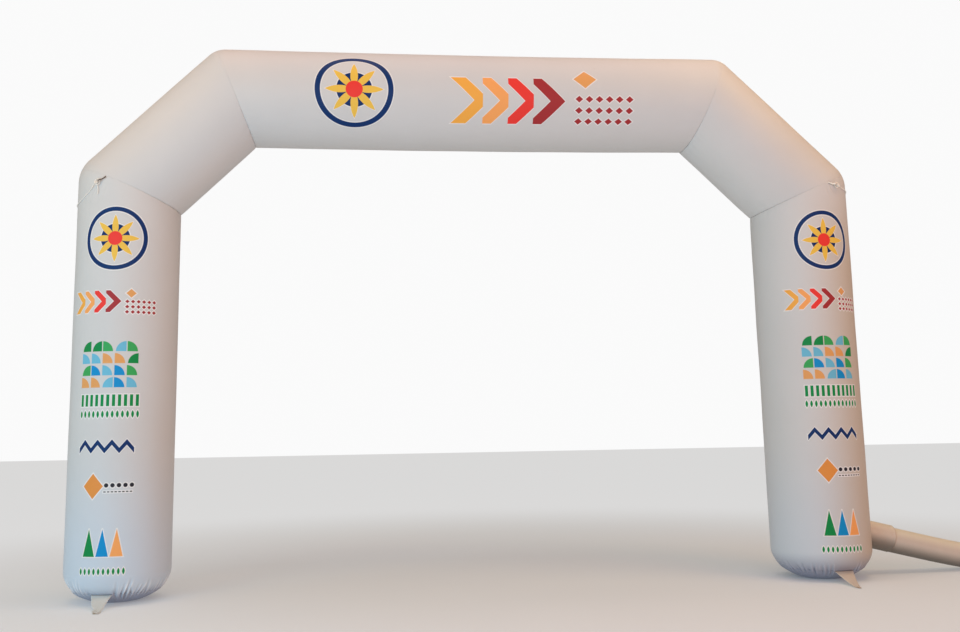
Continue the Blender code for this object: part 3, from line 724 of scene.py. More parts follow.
BEAM_PRINTS = (
    ("ring", ("navy",), -1.260, -0.030, 0.790, 0.054, 1, 1),
    ("disc", ("navy",), -1.260, -0.030, 0.360, 0, 1, 1),
    ("star", ("yellow",), -1.260, -0.030, 0.590, 0.146, 1, 1),
    ("disc", ("red",), -1.260, -0.030, 0.172, 0, 1, 1),
    ("chevron", ("amber", "orange", "red", "maroon"), 0.305, -0.120, 0.155, 0.480, 4, 0.262),
    ("diamond", ("ochre",), 1.105, 0.118, 0.240, 0.200, 1, 1),
    *(("diamond", ("maroon",), 1.305, y, 0.082, 0.070, 6, 0.106) for y in (-0.095, -0.210, -0.325)),
)
TILE_PLACE = (-0.050, 2.250)
TILE_SIZE = 0.114
TILE_COUNT = (5, 4)
TILE_FILL = 0.92
QUARTER_REACH = 0.92
TILE_INKS = ("sky", "lime", "leaf", "sky", "blue", "lime", "ochre")
LEG_PRINT_SHIFT = {"left": 0.0, "right": 0.060}


def repeat_along(place, centre, count, pitch):
    """Distance from the nearest shape of a row, and that shape's number from 0."""
    from_first = place - (centre - pitch * (count - 1) / 2)
    if count == 1:
        return from_first, 0.0
    number = calc("MINIMUM", calc("MAXIMUM", calc("ROUND", from_first / pitch), 0.0), count - 1.0)
    return number * -pitch + from_first, number


def ink_by_number(number, names):
    """A ramp of even steps, one for each ink."""
    node = number.tree.nodes.new("ShaderNodeValToRGB")
    node.color_ramp.interpolation = "CONSTANT"
    steps = node.color_ramp.elements
    while len(steps) < len(names):
        steps.new(1.0)
    for i, name in enumerate(names):
        steps[i].position = i / len(names)
        steps[i].color = (*INKS[name], 1.0)
    return output(node, 0, {0: (number + 0.5) / len(names)})


def ink_share(distance):
    """1 inside the outline, 0 outside, with a narrow soft edge between."""
    share = distance * (-1 / INK_EDGE) + 0.5
    share.socket.node.use_clamp = True
    return share


def lay_prints(colour, across, along, table, shift):
    """A pale underlay a little wider than every shape, then the inks in the table's order."""
    inked = []
    for kind, inks, left, low, width, height, count, pitch in table:
        x, number = repeat_along(across, left + shift, count, pitch)
        distance = SHAPES[kind](x, along - low, width, height)
        inked.append((distance, INKS[inks[0]] if len(inks) == 1 else ink_by_number(number, inks)))
        colour = mix_colour(ink_share(distance - UNDERLAY_RIM), colour, UNDERLAY)
    for distance, ink in inked:
        colour = mix_colour(ink_share(distance), colour, ink)
    return colour


def lay_tiles(colour, across, along, shift):
    """A block of square tiles, each with a quarter disc in one corner and its own ink.

    The tile's number in each direction, through a white noise, picks corner and ink.
    """
    x, column = repeat_along(across, TILE_PLACE[0] + shift, TILE_COUNT[0], TILE_SIZE)
    y, line = repeat_along(along, TILE_PLACE[1], TILE_COUNT[1], TILE_SIZE)
    seat = output(colour.tree.nodes.new("ShaderNodeCombineXYZ"), 0, {0: column, 1: line})
    random = colour.tree.nodes.new("ShaderNodeTexWhiteNoise")
    random.noise_dimensions = "2D"
    lot = output(random, "Value", {"Vector": seat})
    turned = x * (calc("GREATER_THAN", lot, 0.5) * 2.0 - 1.0)
    size = TILE_SIZE * TILE_FILL
    quarter = plane_length(turned + size / 2, y + size / 2) - size * QUARTER_REACH
    distance = calc("MAXIMUM", quarter, shape_bar(x, y, size, size))
    return mix_colour(ink_share(distance), colour, ink_by_number(lot * len(TILE_INKS) - 0.5, TILE_INKS))


print("print rows:", len(LEG_PRINTS), "on each leg,", len(BEAM_PRINTS), "on the beam")

# %% The cloth itself
WEAVE_PITCH = 0.0011
WHITE = (0.65, 0.65, 0.65)
SPECK_TINT = (0.50, 0.47, 0.42)
# painted cool light on the legs: its tint, its share on each leg, and the heights over which it comes in,
# full at the lower one
COOL_LIGHT_TINT = (0.57, 0.67, 0.78)
COOL_LIGHT_SHARE = {"left": 0.85, "right": 0.55}
COOL_LIGHT_ENDS = (1.7, 0.1)
# distances out from the right leg's axis, and heights, between which its cloth takes a painted warm shade
WARM_SHADE_REACH = (-0.22, 0.42)
WARM_SHADE_ENDS = (4.10, 3.10)
WARM_SHADE_TINT = (0.58, 0.51, 0.43)
# the relief at which a pleat's painted shade (valley) or painted highlight (ridge) is full, its share there,
# and its tint
VALLEY_FULL, VALLEY_SHARE, VALLEY_PAINTED_SHADE = -0.013, 0.70, (0.40, 0.42, 0.47)
RIDGE_FULL, RIDGE_SHARE, RIDGE_PAINTED_HIGHLIGHT = 0.005, 0.90, (0.86, 0.87, 0.90)
# heights between which the painted shade under a foot gives way to unshaded cloth
FOOT_SHADE = {"left": (0.05, 0.19), "right": (0.07, 0.31)}
SHADE_SHARE = 0.85
SHADE_TINT = (0.26, 0.28, 0.37)


def paint_leg_light(colour, place, side_name):
    """Painted cool light: a bluish grey low down; on the right leg, a painted warm shade on its outer side.
    """
    height = coordinate(place, 2)
    colour = mix_colour(between(height, *COOL_LIGHT_ENDS) * COOL_LIGHT_SHARE[side_name], colour, COOL_LIGHT_TINT)
    if side_name == "left":
        return colour
    outward = coordinate(place, 0) - float(MIDDLE[0] + SHOULDER[0])
    return mix_colour(between(outward, *WARM_SHADE_REACH) * between(height, *WARM_SHADE_ENDS), colour, WARM_SHADE_TINT)


def shade_foot(colour, place, side_name):
    """Painted shade in the pleats' valleys and painted highlights on their ridges; painted shade on the
    sole.
    """
    node = place.tree.nodes.new("ShaderNodeAttribute")
    node.attribute_name = "relief"
    relief = output(node, "Fac", {})
    unshaded = between(coordinate(place, 2), *FOOT_SHADE[side_name])
    return lay_over(
        colour,
        (between(relief, 0.0, VALLEY_FULL) * VALLEY_SHARE, VALLEY_PAINTED_SHADE),
        (between(relief, 0.0, RIDGE_FULL) * RIDGE_SHARE, RIDGE_PAINTED_HIGHLIGHT),
        (unshaded * -SHADE_SHARE + SHADE_SHARE, SHADE_TINT))


def make_tube_cloth(name):
    """White film over a fine weave, mottled in soft patches, with printed inks; on legs and bases, painted
    light and shade.
    """
    material, place = new_material(f"{name}_film", 0.50, 0.2)
    across, along = cloth_uv(place)
    part, _, side_name = name.partition("_")
    grime = noise(place, 14.0, 5.0, 0.65)
    colour = mix_colour(noise(place, 2.2, 4.0, 0.6) * 0.8, WHITE, scaled(WHITE, 0.93))
    colour = mix_colour(calc("GREATER_THAN", grime, 0.70) * 0.10, colour, SPECK_TINT)
    if part in ("leg", "base"):
        colour = paint_leg_light(colour, place, side_name)
    if part == "beam":
        colour = lay_prints(colour, across, along, BEAM_PRINTS, 0.0)
    if part == "leg":
        shift = LEG_PRINT_SHIFT[side_name]
        colour = lay_tiles(lay_prints(colour, across, along, LEG_PRINTS, shift), across, along, shift)
    if part in ("leg", "base"):
        colour = shade_foot(colour, place, side_name)
    turn = math.pi / WEAVE_PITCH
    height = sine(across * turn) * sine(along * turn) * 0.02 + noise(place, 5.0, 3.0, 0.5)
    return finish_material(material, colour, height, 0.0035, 0.6, Roughness=grime * 0.16 + 0.40)


PANELS = ("leg_left", "leg_right", "shoulder_left", "shoulder_right", "beam", "base_left", "base_right")
FILM = {name: make_tube_cloth(name) for name in PANELS}
print("cloth films:", ", ".join(FILM))


# %% [markdown]
# ## A tube panel between two mitred seams
# The pattern cutter rolls each panel from flat cloth and trims both ends on a slant, so
# that two panels meet like a mitred pipe. Air pressure then rounds the outside of the
# corner, while the inside has too much cloth and puckers. Rows of points lie close
# together beside a seam and far apart on the plain stretch.

# %% Angles round a tube and rows beside a seam
COLUMNS = 480
AZIMUTH_UV = np.linspace(-math.pi, math.pi, COLUMNS + 1)
AZIMUTH = AZIMUTH_UV[:-1]
SEAM_ROWS = np.array((0, 0.003, 0.006, 0.010, 0.015, 0.022, 0.031, 0.043, 0.055, 0.067, 0.079, 0.091,
                      0.103, 0.115, 0.127, 0.140, 0.153, 0.167, 0.182, 0.198, 0.216, 0.236, 0.26, 0.30))
PUCKERS = 26
# what is drawn for each pucker: its angle off the corner's inside, depth, reach and width
PUCKER_SPREAD, PUCKER_DEPTHS = (-1.15, 1.15), (0.0015, 0.0065)
PUCKER_REACHES, PUCKER_WIDTHS = (0.05, 0.20), (0.008, 0.020)
# the seam's dip: on the outside, on the inside, and the distance over which it fades
DIP_OUTSIDE, DIP_INSIDE, DIP_FADE = 0.0002, 0.0040, 0.007
SWELL_WAVES = 8
SWELL_HEIGHT = 0.0004
SWELL_FROM_SEAM = 0.25


def side_of(way):
    """Square to the tube's axis in the plane of the arch; to the right of an upright tube."""
    return np.array((way[2], 0, -way[0]))


def radial(way, azimuth):
    """Direction out of the tube: azimuth 0 is the front and turns towards side_of."""
    return around(azimuth, np.array((0, -1, 0)), side_of(way))


def pucker_depth(azimuth, distance, outer, seed):
    """Small sharp folds on the inside of a corner, deepest at the seam.

    Each fold is a cusp, e to the minus distance over width, times its depth, and fades
    along its own reach. outer is +1 where the azimuth +90 is the outside of the corner.
    """
    rng = np.random.default_rng(seed)
    at = -outer * (math.pi / 2 + rng.uniform(*PUCKER_SPREAD, PUCKERS))
    inner = np.cos(np.abs(at) - math.pi / 2) ** 2
    depth = rng.uniform(*PUCKER_DEPTHS, PUCKERS) * inner
    reach = rng.uniform(*PUCKER_REACHES, PUCKERS)
    width = rng.uniform(*PUCKER_WIDTHS, PUCKERS)
    off = np.abs(turn_from(azimuth[:, :, None], at)) * TUBE_RADIUS
    fade = np.clip(1 - distance[:, :, None] / reach, 0, 1) ** 1.4
    return np.sum(depth * np.exp(-off / width) * fade, axis=2)


def corner_radius(azimuth, distance, lean, rounding, outer, seed):
    """Tube radius near a corner: the outside is rounded, the inside puckers, the seam dips.

    Rounding: a circle of the rounding radius takes the place of the sharp outside.
    Dip: e to the minus distance over its fade, a hair on the outside, deep on the inside.
    """
    outside = outer * np.sin(azimuth)
    back = np.clip(rounding * lean * np.clip(outside, 0, None) - distance, 0, None)
    rounded = rounding - np.sqrt(rounding ** 2 - back ** 2)
    dip = (DIP_OUTSIDE + DIP_INSIDE * np.clip(0.10 - outside, 0, 1) ** 1.5) * np.exp(-distance / DIP_FADE)
    return TUBE_RADIUS - rounded - dip - pucker_depth(azimuth, distance, outer, seed)


def soft_swell(azimuth, along, seed):
    """Slack in the cloth: a sum of long slow waves, each less than half a millimetre high."""
    rng = np.random.default_rng(seed)
    swell = np.zeros(np.broadcast(azimuth, along).shape)
    for _ in range(SWELL_WAVES):
        turns = rng.integers(1, 6)
        swell += np.sin(turns * azimuth + rng.uniform(-7, 7) * along + rng.uniform(0, 6.28))
    return SWELL_HEIGHT * swell


def seam_offset(way, normal, azimuth, radius):
    """Distance along the axis from the corner to the mitre plane, for each azimuth."""
    return -radius * (radial(way, azimuth) @ normal) / (way @ normal)


def panel_points(start, end, way, normals, roundings, outer, seeds, middle_rows):
    """Points of a panel from seam to seam, with the along-axis place of every point.

    Along the axis a point's place is its seam's, plus a set distance near that seam, and
    even shares of what is left in the middle. Across, it is the tube's radius there.
    """
    azimuth = AZIMUTH[None]
    length = np.linalg.norm(end - start)
    rows = len(SEAM_ROWS)
    distances = np.broadcast_to(SEAM_ROWS[:, None], (rows, COLUMNS))
    ends, radii = [], []
    for i, normal in enumerate(normals):
        lean = abs(side_of(way) @ normal)
        reach = corner_radius(azimuth, distances, lean, roundings[i], outer, seeds[i])
        offset = seam_offset(way, normal, AZIMUTH, reach[0])
        gap = SEAM_GAP / 2 / abs(way @ normal)
        ends.append(i * length + offset + (1, -1)[i] * (distances + gap))
        radii.append(reach)
    share = np.linspace(0, 1, middle_rows + 2)[1:-1, None]
    middle = ends[0][-1] + (ends[1][-1] - ends[0][-1]) * share
    along = np.concatenate((ends[0], middle, ends[1][::-1]))
    radius = np.concatenate((radii[0], np.full((middle_rows, COLUMNS), TUBE_RADIUS), radii[1][::-1]))
    inner = np.minimum(along - ends[0][0], ends[1][0] - along)
    radius = radius + soft_swell(azimuth, along, seeds[0] + 50) * ramp(inner, 0, SWELL_FROM_SEAM)
    return start + along[..., None] * way + radius[..., None] * radial(way, AZIMUTH), along


def wrap_column(values):
    """The first column once more at the end, for a UV grid."""
    return np.concatenate((values, values[:, :1]), axis=1)


def tube_uv(along):
    """Metres round the tube, and metres along it."""
    around_tube = np.broadcast_to(TUBE_RADIUS * AZIMUTH_UV, (len(along), COLUMNS + 1))
    return np.stack((around_tube, wrap_column(along)), axis=-1)


# %% Shoulders and beam
FOOT = np.array((leg_axis_x(0), 0, 0))
LEG_WAY = unit(SHOULDER - FOOT)
SHOULDER_WAY = unit(BEAM_END - SHOULDER)
LOW_MITRE = unit(LEG_WAY + SHOULDER_WAY)
BEAM_WAY = np.array((-1.0, 0, 0))
HIGH_MITRE = unit(SHOULDER_WAY + BEAM_WAY)
CORNER_SEEDS = {"left": (21, 23), "right": (31, 33)}
SAG_HALF_SPAN = 2.2
# rows of points on the plain stretch between the rows beside both seams
SHOULDER_ROWS, BEAM_ROWS, LEG_ROWS = 24, 60, 30


def make_shoulder(side_name):
    """A short tube from the leg's mitre to the beam's mitre."""
    side = SIDES[side_name]
    low, high, way, low_mitre, high_mitre = (
        part * (side, 1, 1) for part in (SHOULDER, BEAM_END, SHOULDER_WAY, LOW_MITRE, HIGH_MITRE))
    points, along = panel_points(low, high, way, (low_mitre, high_mitre), (SHOULDER_ROUNDING, BEAM_ROUNDING),
                                 side, CORNER_SEEDS[side_name], SHOULDER_ROWS)
    name = f"shoulder_{side_name}"
    panel = cloth_piece(f"{name}_panel", "shoulder_cloth", name, points, FILM[name], tube_uv(along),
                        wrapped=True, inside=(low + high) / 2)


def make_beam():
    """The level tube, from the right corner to the left one, with a slight sag."""
    mirror = (-1, 1, 1)
    points, _ = panel_points(
        BEAM_END, BEAM_END * mirror, BEAM_WAY, (HIGH_MITRE, -HIGH_MITRE * mirror),
        (BEAM_ROUNDING, BEAM_ROUNDING), 1, (CORNER_SEEDS["right"][1], CORNER_SEEDS["left"][1]), BEAM_ROWS)
    x = points[..., 0]
    points[..., 2] -= BEAM_SAG * np.clip(1 - (x / SAG_HALF_SPAN) ** 2, 0, 1)
    panel = cloth_piece("beam_panel", "beam_cloth", "beam", points, FILM["beam"], tube_uv(x)[..., ::-1],
                        wrapped=True, inside=UP * BEAM_END)


for name in SIDES:
    make_shoulder(name)
make_beam()
print("shoulders and beam are in place")

# %% [markdown]
# ## Gathered feet
# The leg's lower end is drawn in and sewn round a flat disc of cloth. More cloth arrives
# at the seam than the disc can take, so it falls into pleats: sharp valleys with full,
# rounded puffs between them, uneven because they are gathered by hand. The profile is a
# flat middle, and from there a rounded curve out to the tube's radius. How far each
# point stands off that profile is kept with the mesh, so that the cloth's colour can
# paint shade into its valleys and highlights onto its ridges.

# %% The foot's profile and pleats
FLAT_RADIUS = 0.16
FOOT_HEIGHT = 0.286
FOOT_ROUNDNESS = 1.75
SEAM_DEGREES = 48
SEAM_ANGLE = math.radians(SEAM_DEGREES)
PLEAT_COUNT = 64
PLEAT_REACH = {"left": (0.06, 0.24), "right": (0.05, 0.17)}
PLEAT_SEEDS = {"left": 41, "right": 43}
BASE_PLEAT_REACH = (0.05, 0.14)
# what is drawn for each pleat: its shift in shares of a step, depth, width, slant, and the
# share of the depth that its puff stands out; under the foot the slant is weaker
PLEAT_SHIFT, PLEAT_DEPTHS, PLEAT_WIDTHS = (-0.36, 0.36), (0.005, 0.019), (0.005, 0.012)
PLEAT_SLANTS, PUFF_SHARES, BASE_SLANT = (-0.55, 0.55), (0.25, 0.60), 0.4
# metres across a pleat for each radian: the pleats are shaped for the foot's mean radius
PLEAT_RADIUS = 0.43
PUFF_PLACE, PUFF_WIDTH = 0.020, 0.011
DUCT_AZIMUTH = math.radians(5)
TAB_AZIMUTH = {"left": -8.3, "right": 6.4}
# radians beside the tab's root, and beside the collar, over which the pleats come in
TAB_CLEAR = (0.235, 0.285)
COLLAR_CLEAR = (0.31, 0.48)
COLLAR_CLEAR_ABOVE = 0.14


def foot_profile(angle):
    """Radius and height on the foot, and the two parts of the outward normal.

    Radius grows with the sine and height with one minus the cosine, each to the power
    2 / roundness, so that roundness 2 would be an ellipse.
    """
    power = 2 / FOOT_ROUNDNESS
    s, c = np.sin(angle), np.clip(np.cos(angle), 0, 1)
    span = TUBE_RADIUS - FLAT_RADIUS
    radius = FLAT_RADIUS + span * s ** power
    height = FOOT_HEIGHT * (1 - c ** power)
    along_r = span * np.maximum(s, 1e-6) ** (power - 1) * c
    along_z = FOOT_HEIGHT * np.maximum(c, 1e-6) ** (power - 1) * s
    length = np.hypot(along_r, along_z)
    return radius, height, along_z / length, -along_r / length


def pleat_gate(side_name, height):
    """No pleats over the tab's root, nor high up beside the blower collar."""
    off_tab = np.abs(turn_from(AZIMUTH, math.radians(TAB_AZIMUTH[side_name])))
    gate = ramp(off_tab, *TAB_CLEAR) * np.ones_like(height)
    if side_name == "left":
        return gate
    off_collar = np.abs(turn_from(AZIMUTH, math.pi / 2 + DUCT_AZIMUTH))
    return gate * np.where(height > COLLAR_CLEAR_ABOVE, ramp(off_collar, *COLLAR_CLEAR), 1.0)


def pleat_relief(side_name, from_seam, height, upward):
    """How far the cloth stands off the plain foot: puffs out, valleys in.

    Valley: a cusp, e to the minus distance over width, leaning a little with height.
    Puff: a slow wave between the valleys. Both die out with distance from the seam.
    """
    rng = np.random.default_rng(PLEAT_SEEDS[side_name])
    step = 2 * math.pi / PLEAT_COUNT
    at = (np.arange(PLEAT_COUNT) + rng.uniform(*PLEAT_SHIFT, PLEAT_COUNT)) * step - math.pi
    depth = rng.uniform(*PLEAT_DEPTHS, PLEAT_COUNT)
    reach = rng.uniform(*(PLEAT_REACH[side_name] if upward else BASE_PLEAT_REACH), PLEAT_COUNT)
    width = rng.uniform(*PLEAT_WIDTHS, PLEAT_COUNT)
    slant = rng.uniform(*PLEAT_SLANTS, PLEAT_COUNT) * (1.0 if upward else BASE_SLANT)
    bulge = rng.uniform(*PUFF_SHARES, PLEAT_COUNT)
    away = from_seam[..., None]
    off = np.abs(turn_from(AZIMUTH[:, None] - slant * away, at)) * PLEAT_RADIUS
    fade = np.clip(1 - away / reach, 0, 1) ** 1.25
    valley = np.sum(depth * np.exp(-off / width) * fade, axis=2)
    puff = np.sum(bulge * depth * np.exp(-((off - PUFF_PLACE) / PUFF_WIDTH) ** 2) * fade, axis=2)
    return (puff - valley) * pleat_gate(side_name, height)


def leg_points(side, height, radius, level):
    """Points round a leg's axis at this height, each at its own radius and level."""
    x = side * leg_axis_x(height) + radius * np.sin(AZIMUTH)
    return np.stack(np.broadcast_arrays(x, -radius * np.cos(AZIMUTH), level), axis=-1)


def foot_rings(side_name, angles, nudge, upward):
    """Rings of the foot at these profile angles, moved off the profile by the relief."""
    radius, height, out_r, out_z = (part[:, None] for part in foot_profile(angles))
    fine = np.linspace(SEAM_ANGLE, angles[-1] if upward else angles[0], 60)
    arc = distances_along(np.stack(foot_profile(fine)[:2], axis=-1))
    order = np.argsort(fine)
    full_ring = np.ones((1, COLUMNS))
    from_seam = np.interp(angles, fine[order], arc[order])[:, None] * full_ring
    relief = pleat_relief(side_name, from_seam, height * full_ring, upward)
    if not upward:
        relief = relief * ramp(height, 0, 0.03)
    ring = radius + relief * out_r - nudge * out_z
    level = np.maximum(height + relief * out_z + nudge * out_r, 0.0)
    return leg_points(SIDES[side_name], height, ring, level), from_seam, relief


# %% Creases at the guy points
# one crease: depth, width, then its azimuths and heights from one end to the other
CREASES = {
    "left": ((0.0045, 0.010, (23.5, 27.6, 32.1, 38.5), (4.01, 3.965, 3.908, 3.84)),
             (0.0022, 0.014, (14.0, 17.0, 21.0), (4.00, 3.93, 3.84))),
    "right": ((0.0070, 0.009, (17.2, 18.1, 19.2, 21.4, 23.9, 30.0),
               (4.050, 4.023, 4.002, 3.982, 3.969, 3.940)),
              (0.0030, 0.013, (12.0, 14.5, 19.5), (4.03, 3.96, 3.90))),
}


def crease_relief(side_name, azimuth, height):
    """Where the strap drags the cloth: a soft groove beside a low ridge, down each line.

    The groove is a Gaussian of the distance across the line, the ridge the same one set
    over by its width; both swell and fade with the sine of the way along the line.
    """
    relief = np.zeros(np.broadcast(azimuth, height).shape)
    turn = np.degrees(azimuth) * SIDES[side_name]
    for depth, width, turns, heights in CREASES[side_name]:
        off = (turn - np.interp(height, heights[::-1], turns[::-1])) * math.radians(TUBE_RADIUS)
        share = np.clip((heights[0] - height) / (heights[0] - heights[-1]), 0, 1)
        groove = np.exp(-(off / width) ** 2) - 0.5 * np.exp(-(off / width + 1.4) ** 2)
        relief -= depth * groove * np.sin(math.pi * share) ** 0.7
    return relief


# %% Legs
FOOT_ANGLES = np.radians(np.linspace(SEAM_DEGREES, 90, 20))
BASE_ANGLES = np.radians(np.concatenate((np.linspace(0, 12, 5), np.linspace(15, SEAM_DEGREES, 16))))
# shares of the way from a disc's middle to its first pleated ring
DISC_SHARES = np.array((0.004, 0.35, 0.7))[:, None, None]
PLAIN_HEIGHTS = np.array((0.305, 0.325, 0.35, 0.38, 0.41, 0.45, 0.50, 0.56))[:, None]
# heights over which the slack of a leg's cloth comes in from below and from above
SLACK_FROM_BELOW, SLACK_FROM_ABOVE = (0.6, 0.9), (3.7, 3.4)


def make_leg(side_name):
    """Pleated foot rings, then plain rings, then the rows up to the shoulder's mitre."""
    side = SIDES[side_name]
    foot, foot_arc, foot_relief = foot_rings(side_name, FOOT_ANGLES, SEAM_GAP / 2, True)
    heights = PLAIN_HEIGHTS * np.ones((1, COLUMNS))
    plain_relief = pleat_relief(side_name, foot_arc[-1] + heights - FOOT_HEIGHT, heights, True)
    plain = leg_points(side, heights, TUBE_RADIUS + plain_relief, heights)

    corner, way, mitre = (part * (side, 1, 1) for part in (SHOULDER, LEG_WAY, LOW_MITRE))
    azimuth, outward = AZIMUTH[None], radial(way, AZIMUTH)
    distance = np.broadcast_to(SEAM_ROWS[::-1, None], (len(SEAM_ROWS), COLUMNS))
    radius = corner_radius(azimuth, distance, abs(side_of(way) @ mitre), SHOULDER_ROUNDING, side,
                           CORNER_SEEDS[side_name][0])
    along = seam_offset(way, mitre, AZIMUTH, radius[-1]) - SEAM_GAP / 2 / abs(way @ mitre) - distance
    creases = crease_relief(side_name, azimuth, SHOULDER[2] + along * way[2]) * ramp(distance, 0, 0.02)
    top = corner + along[..., None] * way + (radius + creases)[..., None] * outward
    share = np.linspace(0, 1, LEG_ROWS + 2)[1:-1, None, None]
    middle = plain[-1] + (top[0] - plain[-1]) * share
    level = middle[..., 2]
    slack = ramp(level, *SLACK_FROM_BELOW) * ramp(level, *SLACK_FROM_ABOVE)
    middle = middle + (soft_swell(azimuth, level, 60 + side) * slack)[..., None] * outward

    points = np.concatenate((foot, plain, middle, top))
    along = np.concatenate((FOOT_HEIGHT - foot_arc[-1] + foot_arc, heights, middle[..., 2], top[..., 2]))
    inside = np.stack((side * leg_axis_x(points[..., 2]), 0 * along, points[..., 2] + 0.1), axis=-1)
    name = f"leg_{side_name}"
    panel = cloth_piece(f"{name}_panel", "leg_cloth", name, points, FILM[name], tube_uv(along),
                        wrapped=True, inside=inside)
    # the creases' relief is kept too, so that they take the pleats' painted shade and highlights
    keep_relief(panel, np.concatenate((foot_relief, plain_relief, np.zeros(middle.shape[:2]), creases)))


def make_base(side_name):
    """The disc under a foot: flat on the ground in the middle, pleated at its rim."""
    rim, _, relief = foot_rings(side_name, BASE_ANGLES, -SEAM_GAP / 2, False)
    middle = np.array((SIDES[side_name] * leg_axis_x(0), 0, 0))
    points = np.concatenate((middle + (rim[0] - middle) * DISC_SHARES, rim))
    uv = wrap_column((points - middle)[..., :2])
    name = f"base_{side_name}"
    panel = cloth_piece(f"{name}_panel", "base_cloth", name, points, FILM[name], uv, wrapped=True,
                        inside=middle + 0.4 * UP)
    keep_relief(panel, np.concatenate((np.zeros((len(DISC_SHARES), COLUMNS)), relief)))
    close_holes(panel, sides=COLUMNS, below=0.001)


for name in SIDES:
    make_leg(name)
    make_base(name)
print("legs and bases are in place")

# %% [markdown]
# ## Anchor tabs
# A flap of the same cloth is sewn into each foot's front seam. It falls to the ground
# and narrows to a tip with a metal eyelet for a ground peg. Two turned hems run along
# its edges, held by a row of stitches.

# %% Tab cloth
# each tab's tint carries painted light: a painted cool light on the left tab, a painted warm light on the
# right one
TAB_TINTS_WITH_LIGHT = {"left": (0.72, 0.76, 0.74), "right": (0.72, 0.65, 0.56)}
TAB_SOIL, HEM_HIGHLIGHT, THREAD_TINT = (0.30, 0.24, 0.17), (0.86, 0.86, 0.83), (0.55, 0.53, 0.48)
# shares of the tab's half width: the hem, the stitch line in it, and half a thread
HEM, STITCH_LINE, THREAD_HALF = 0.17, 0.15, 0.012
STITCHES = 110.0
STITCH_SHARE = 0.65


def make_tab_material(side_name):
    """Off-white cloth: thicker along the hem, with a painted highlight there, dashed stitches, soil towards
    the tip.
    """
    material, place = new_material(f"tab_{side_name}_film", 0.60, 0.35)
    across, along = cloth_uv(place)
    tint = TAB_TINTS_WITH_LIGHT[side_name]
    soil = noise(place, 36.0, 5.0, 0.7) * calc("SMOOTH_MIN", along, 1.0, 0.3)
    from_edge = 1.0 - abs(across)
    hem = calc("LESS_THAN", from_edge, HEM)
    line = calc("LESS_THAN", abs(from_edge - STITCH_LINE), THREAD_HALF)
    thread = line * calc("LESS_THAN", calc("FRACT", along * STITCHES), STITCH_SHARE)
    colour = mix_colour(noise(place, 9.0, 4.0, 0.6) * 0.6, tint, scaled(tint, 0.84))
    # the lighter band along each hem is a painted highlight
    colour = lay_over(colour, (calc("GREATER_THAN", soil, 0.42) * 0.45, TAB_SOIL), (hem * 0.25, HEM_HIGHLIGHT),
                      (thread * 0.6, THREAD_TINT))
    height = noise(place, 900.0, 1.0, 0.5) * 0.15 + (hem - thread)
    return finish_material(material, colour, height, 0.0006, 0.7)


# %% Tabs
TAB_COLUMNS = ("root_width", "tip_x", "tip_reach", "tip_width", "eyelet_x", "eyelet_in",
               "low_taper", "high_taper", "notch", "area")
TAB_ROWS = {
    "left": (0.203, -0.0075, 0.808, 0.056, -0.017, 0.036, 0.93, 3.2, 0.022, 0.051),
    "right": (0.206, -0.016, 0.825, 0.041, -0.004, 0.030, 1.41, 1.12, 0.0, 0.050),
}
TAB_FALL = ((0.0, 0.0), (0.22, 0.29), (0.45, 0.57), (0.68, 0.82), (0.88, 1.0), (1.0, 1.0))
NOTCH_MIDDLE = 0.66
NOTCH_HALF = 0.14
# the tab is meshed finely from this share of its length on: rows before, after, and columns
TAB_FINE_FROM, TAB_MESH = 0.86, (50, 25, 27)
TAB_ROOT_OUT = 0.0007
TAB_LYING = 0.0026
TAB_TOE = 0.014
TAB_RIPPLE = 0.0014
EYELET_RADIUS = 0.013
EYELET_HOLE = 0.0070
EYELET_BARREL = 0.0081
EYELET_CUT = 0.0102


def soft_fall(down):
    """The share of the height lost, smoothed by averaging the table around each place."""
    at, fallen = zip(*TAB_FALL)
    spread = np.linspace(-1, 1, 9) * 0.05 * ramp(down, 0, 0.10)[..., None]
    return np.interp(down[..., None] + spread, at, fallen).mean(axis=-1)


def tab_surface(row, across, down):
    """From the arc of the seam to the lying tip.

    y goes evenly from seam to tip; x draws in by one minus (1 - down) to the taper, which
    changes from one edge to the other; z falls by the table. The toe's corners are drawn
    back by the fourth power of across. The notch is a squared cosine bite in one edge.
    """
    radius, height, out_r, out_z = foot_profile(np.array(SEAM_ANGLE))
    root_radius = radius + TAB_ROOT_OUT * out_r
    turn = math.radians(row["azimuth"]) + across * row["root_width"] / 2 / root_radius
    root_x, root_y = root_radius * np.sin(turn), -root_radius * np.cos(turn)
    root_z = height + TAB_ROOT_OUT * out_z
    tip_x = row["tip_x"] + across * row["tip_width"] / 2
    tip_y = -row["tip_reach"] + TAB_TOE * across ** 4
    taper = (row["low_taper"] * (1 - across) + row["high_taper"] * (1 + across)) / 2
    narrowed = 1 - (1 - down) ** taper
    past_notch = ramp(np.abs(down - NOTCH_MIDDLE), 0, NOTCH_HALF)
    bite = row["notch"] * np.cos(past_notch * math.pi / 2) ** 2 * ((1 - across) / 2) ** 2
    ripple = TAB_RIPPLE * np.sin(9 * down + 2 * across) * np.sin(math.pi * down) ** 2 * ramp(down, 0.5, 0.3)
    return np.stack((
        root_x + (tip_x - root_x) * narrowed + bite,
        root_y + (tip_y - root_y) * down,
        root_z + (TAB_LYING - root_z) * soft_fall(down) + ripple), axis=-1)


def cut_hole(piece, centre, radius):
    """Take away the small squares of cloth whose middle lies in the eyelet."""
    def cut(mesh):
        inside = [face for face in mesh.faces if (face.calc_center_median().xy - centre).length < radius]
        bmesh.ops.delete(mesh, geom=inside, context="FACES")

    edit(piece, cut)


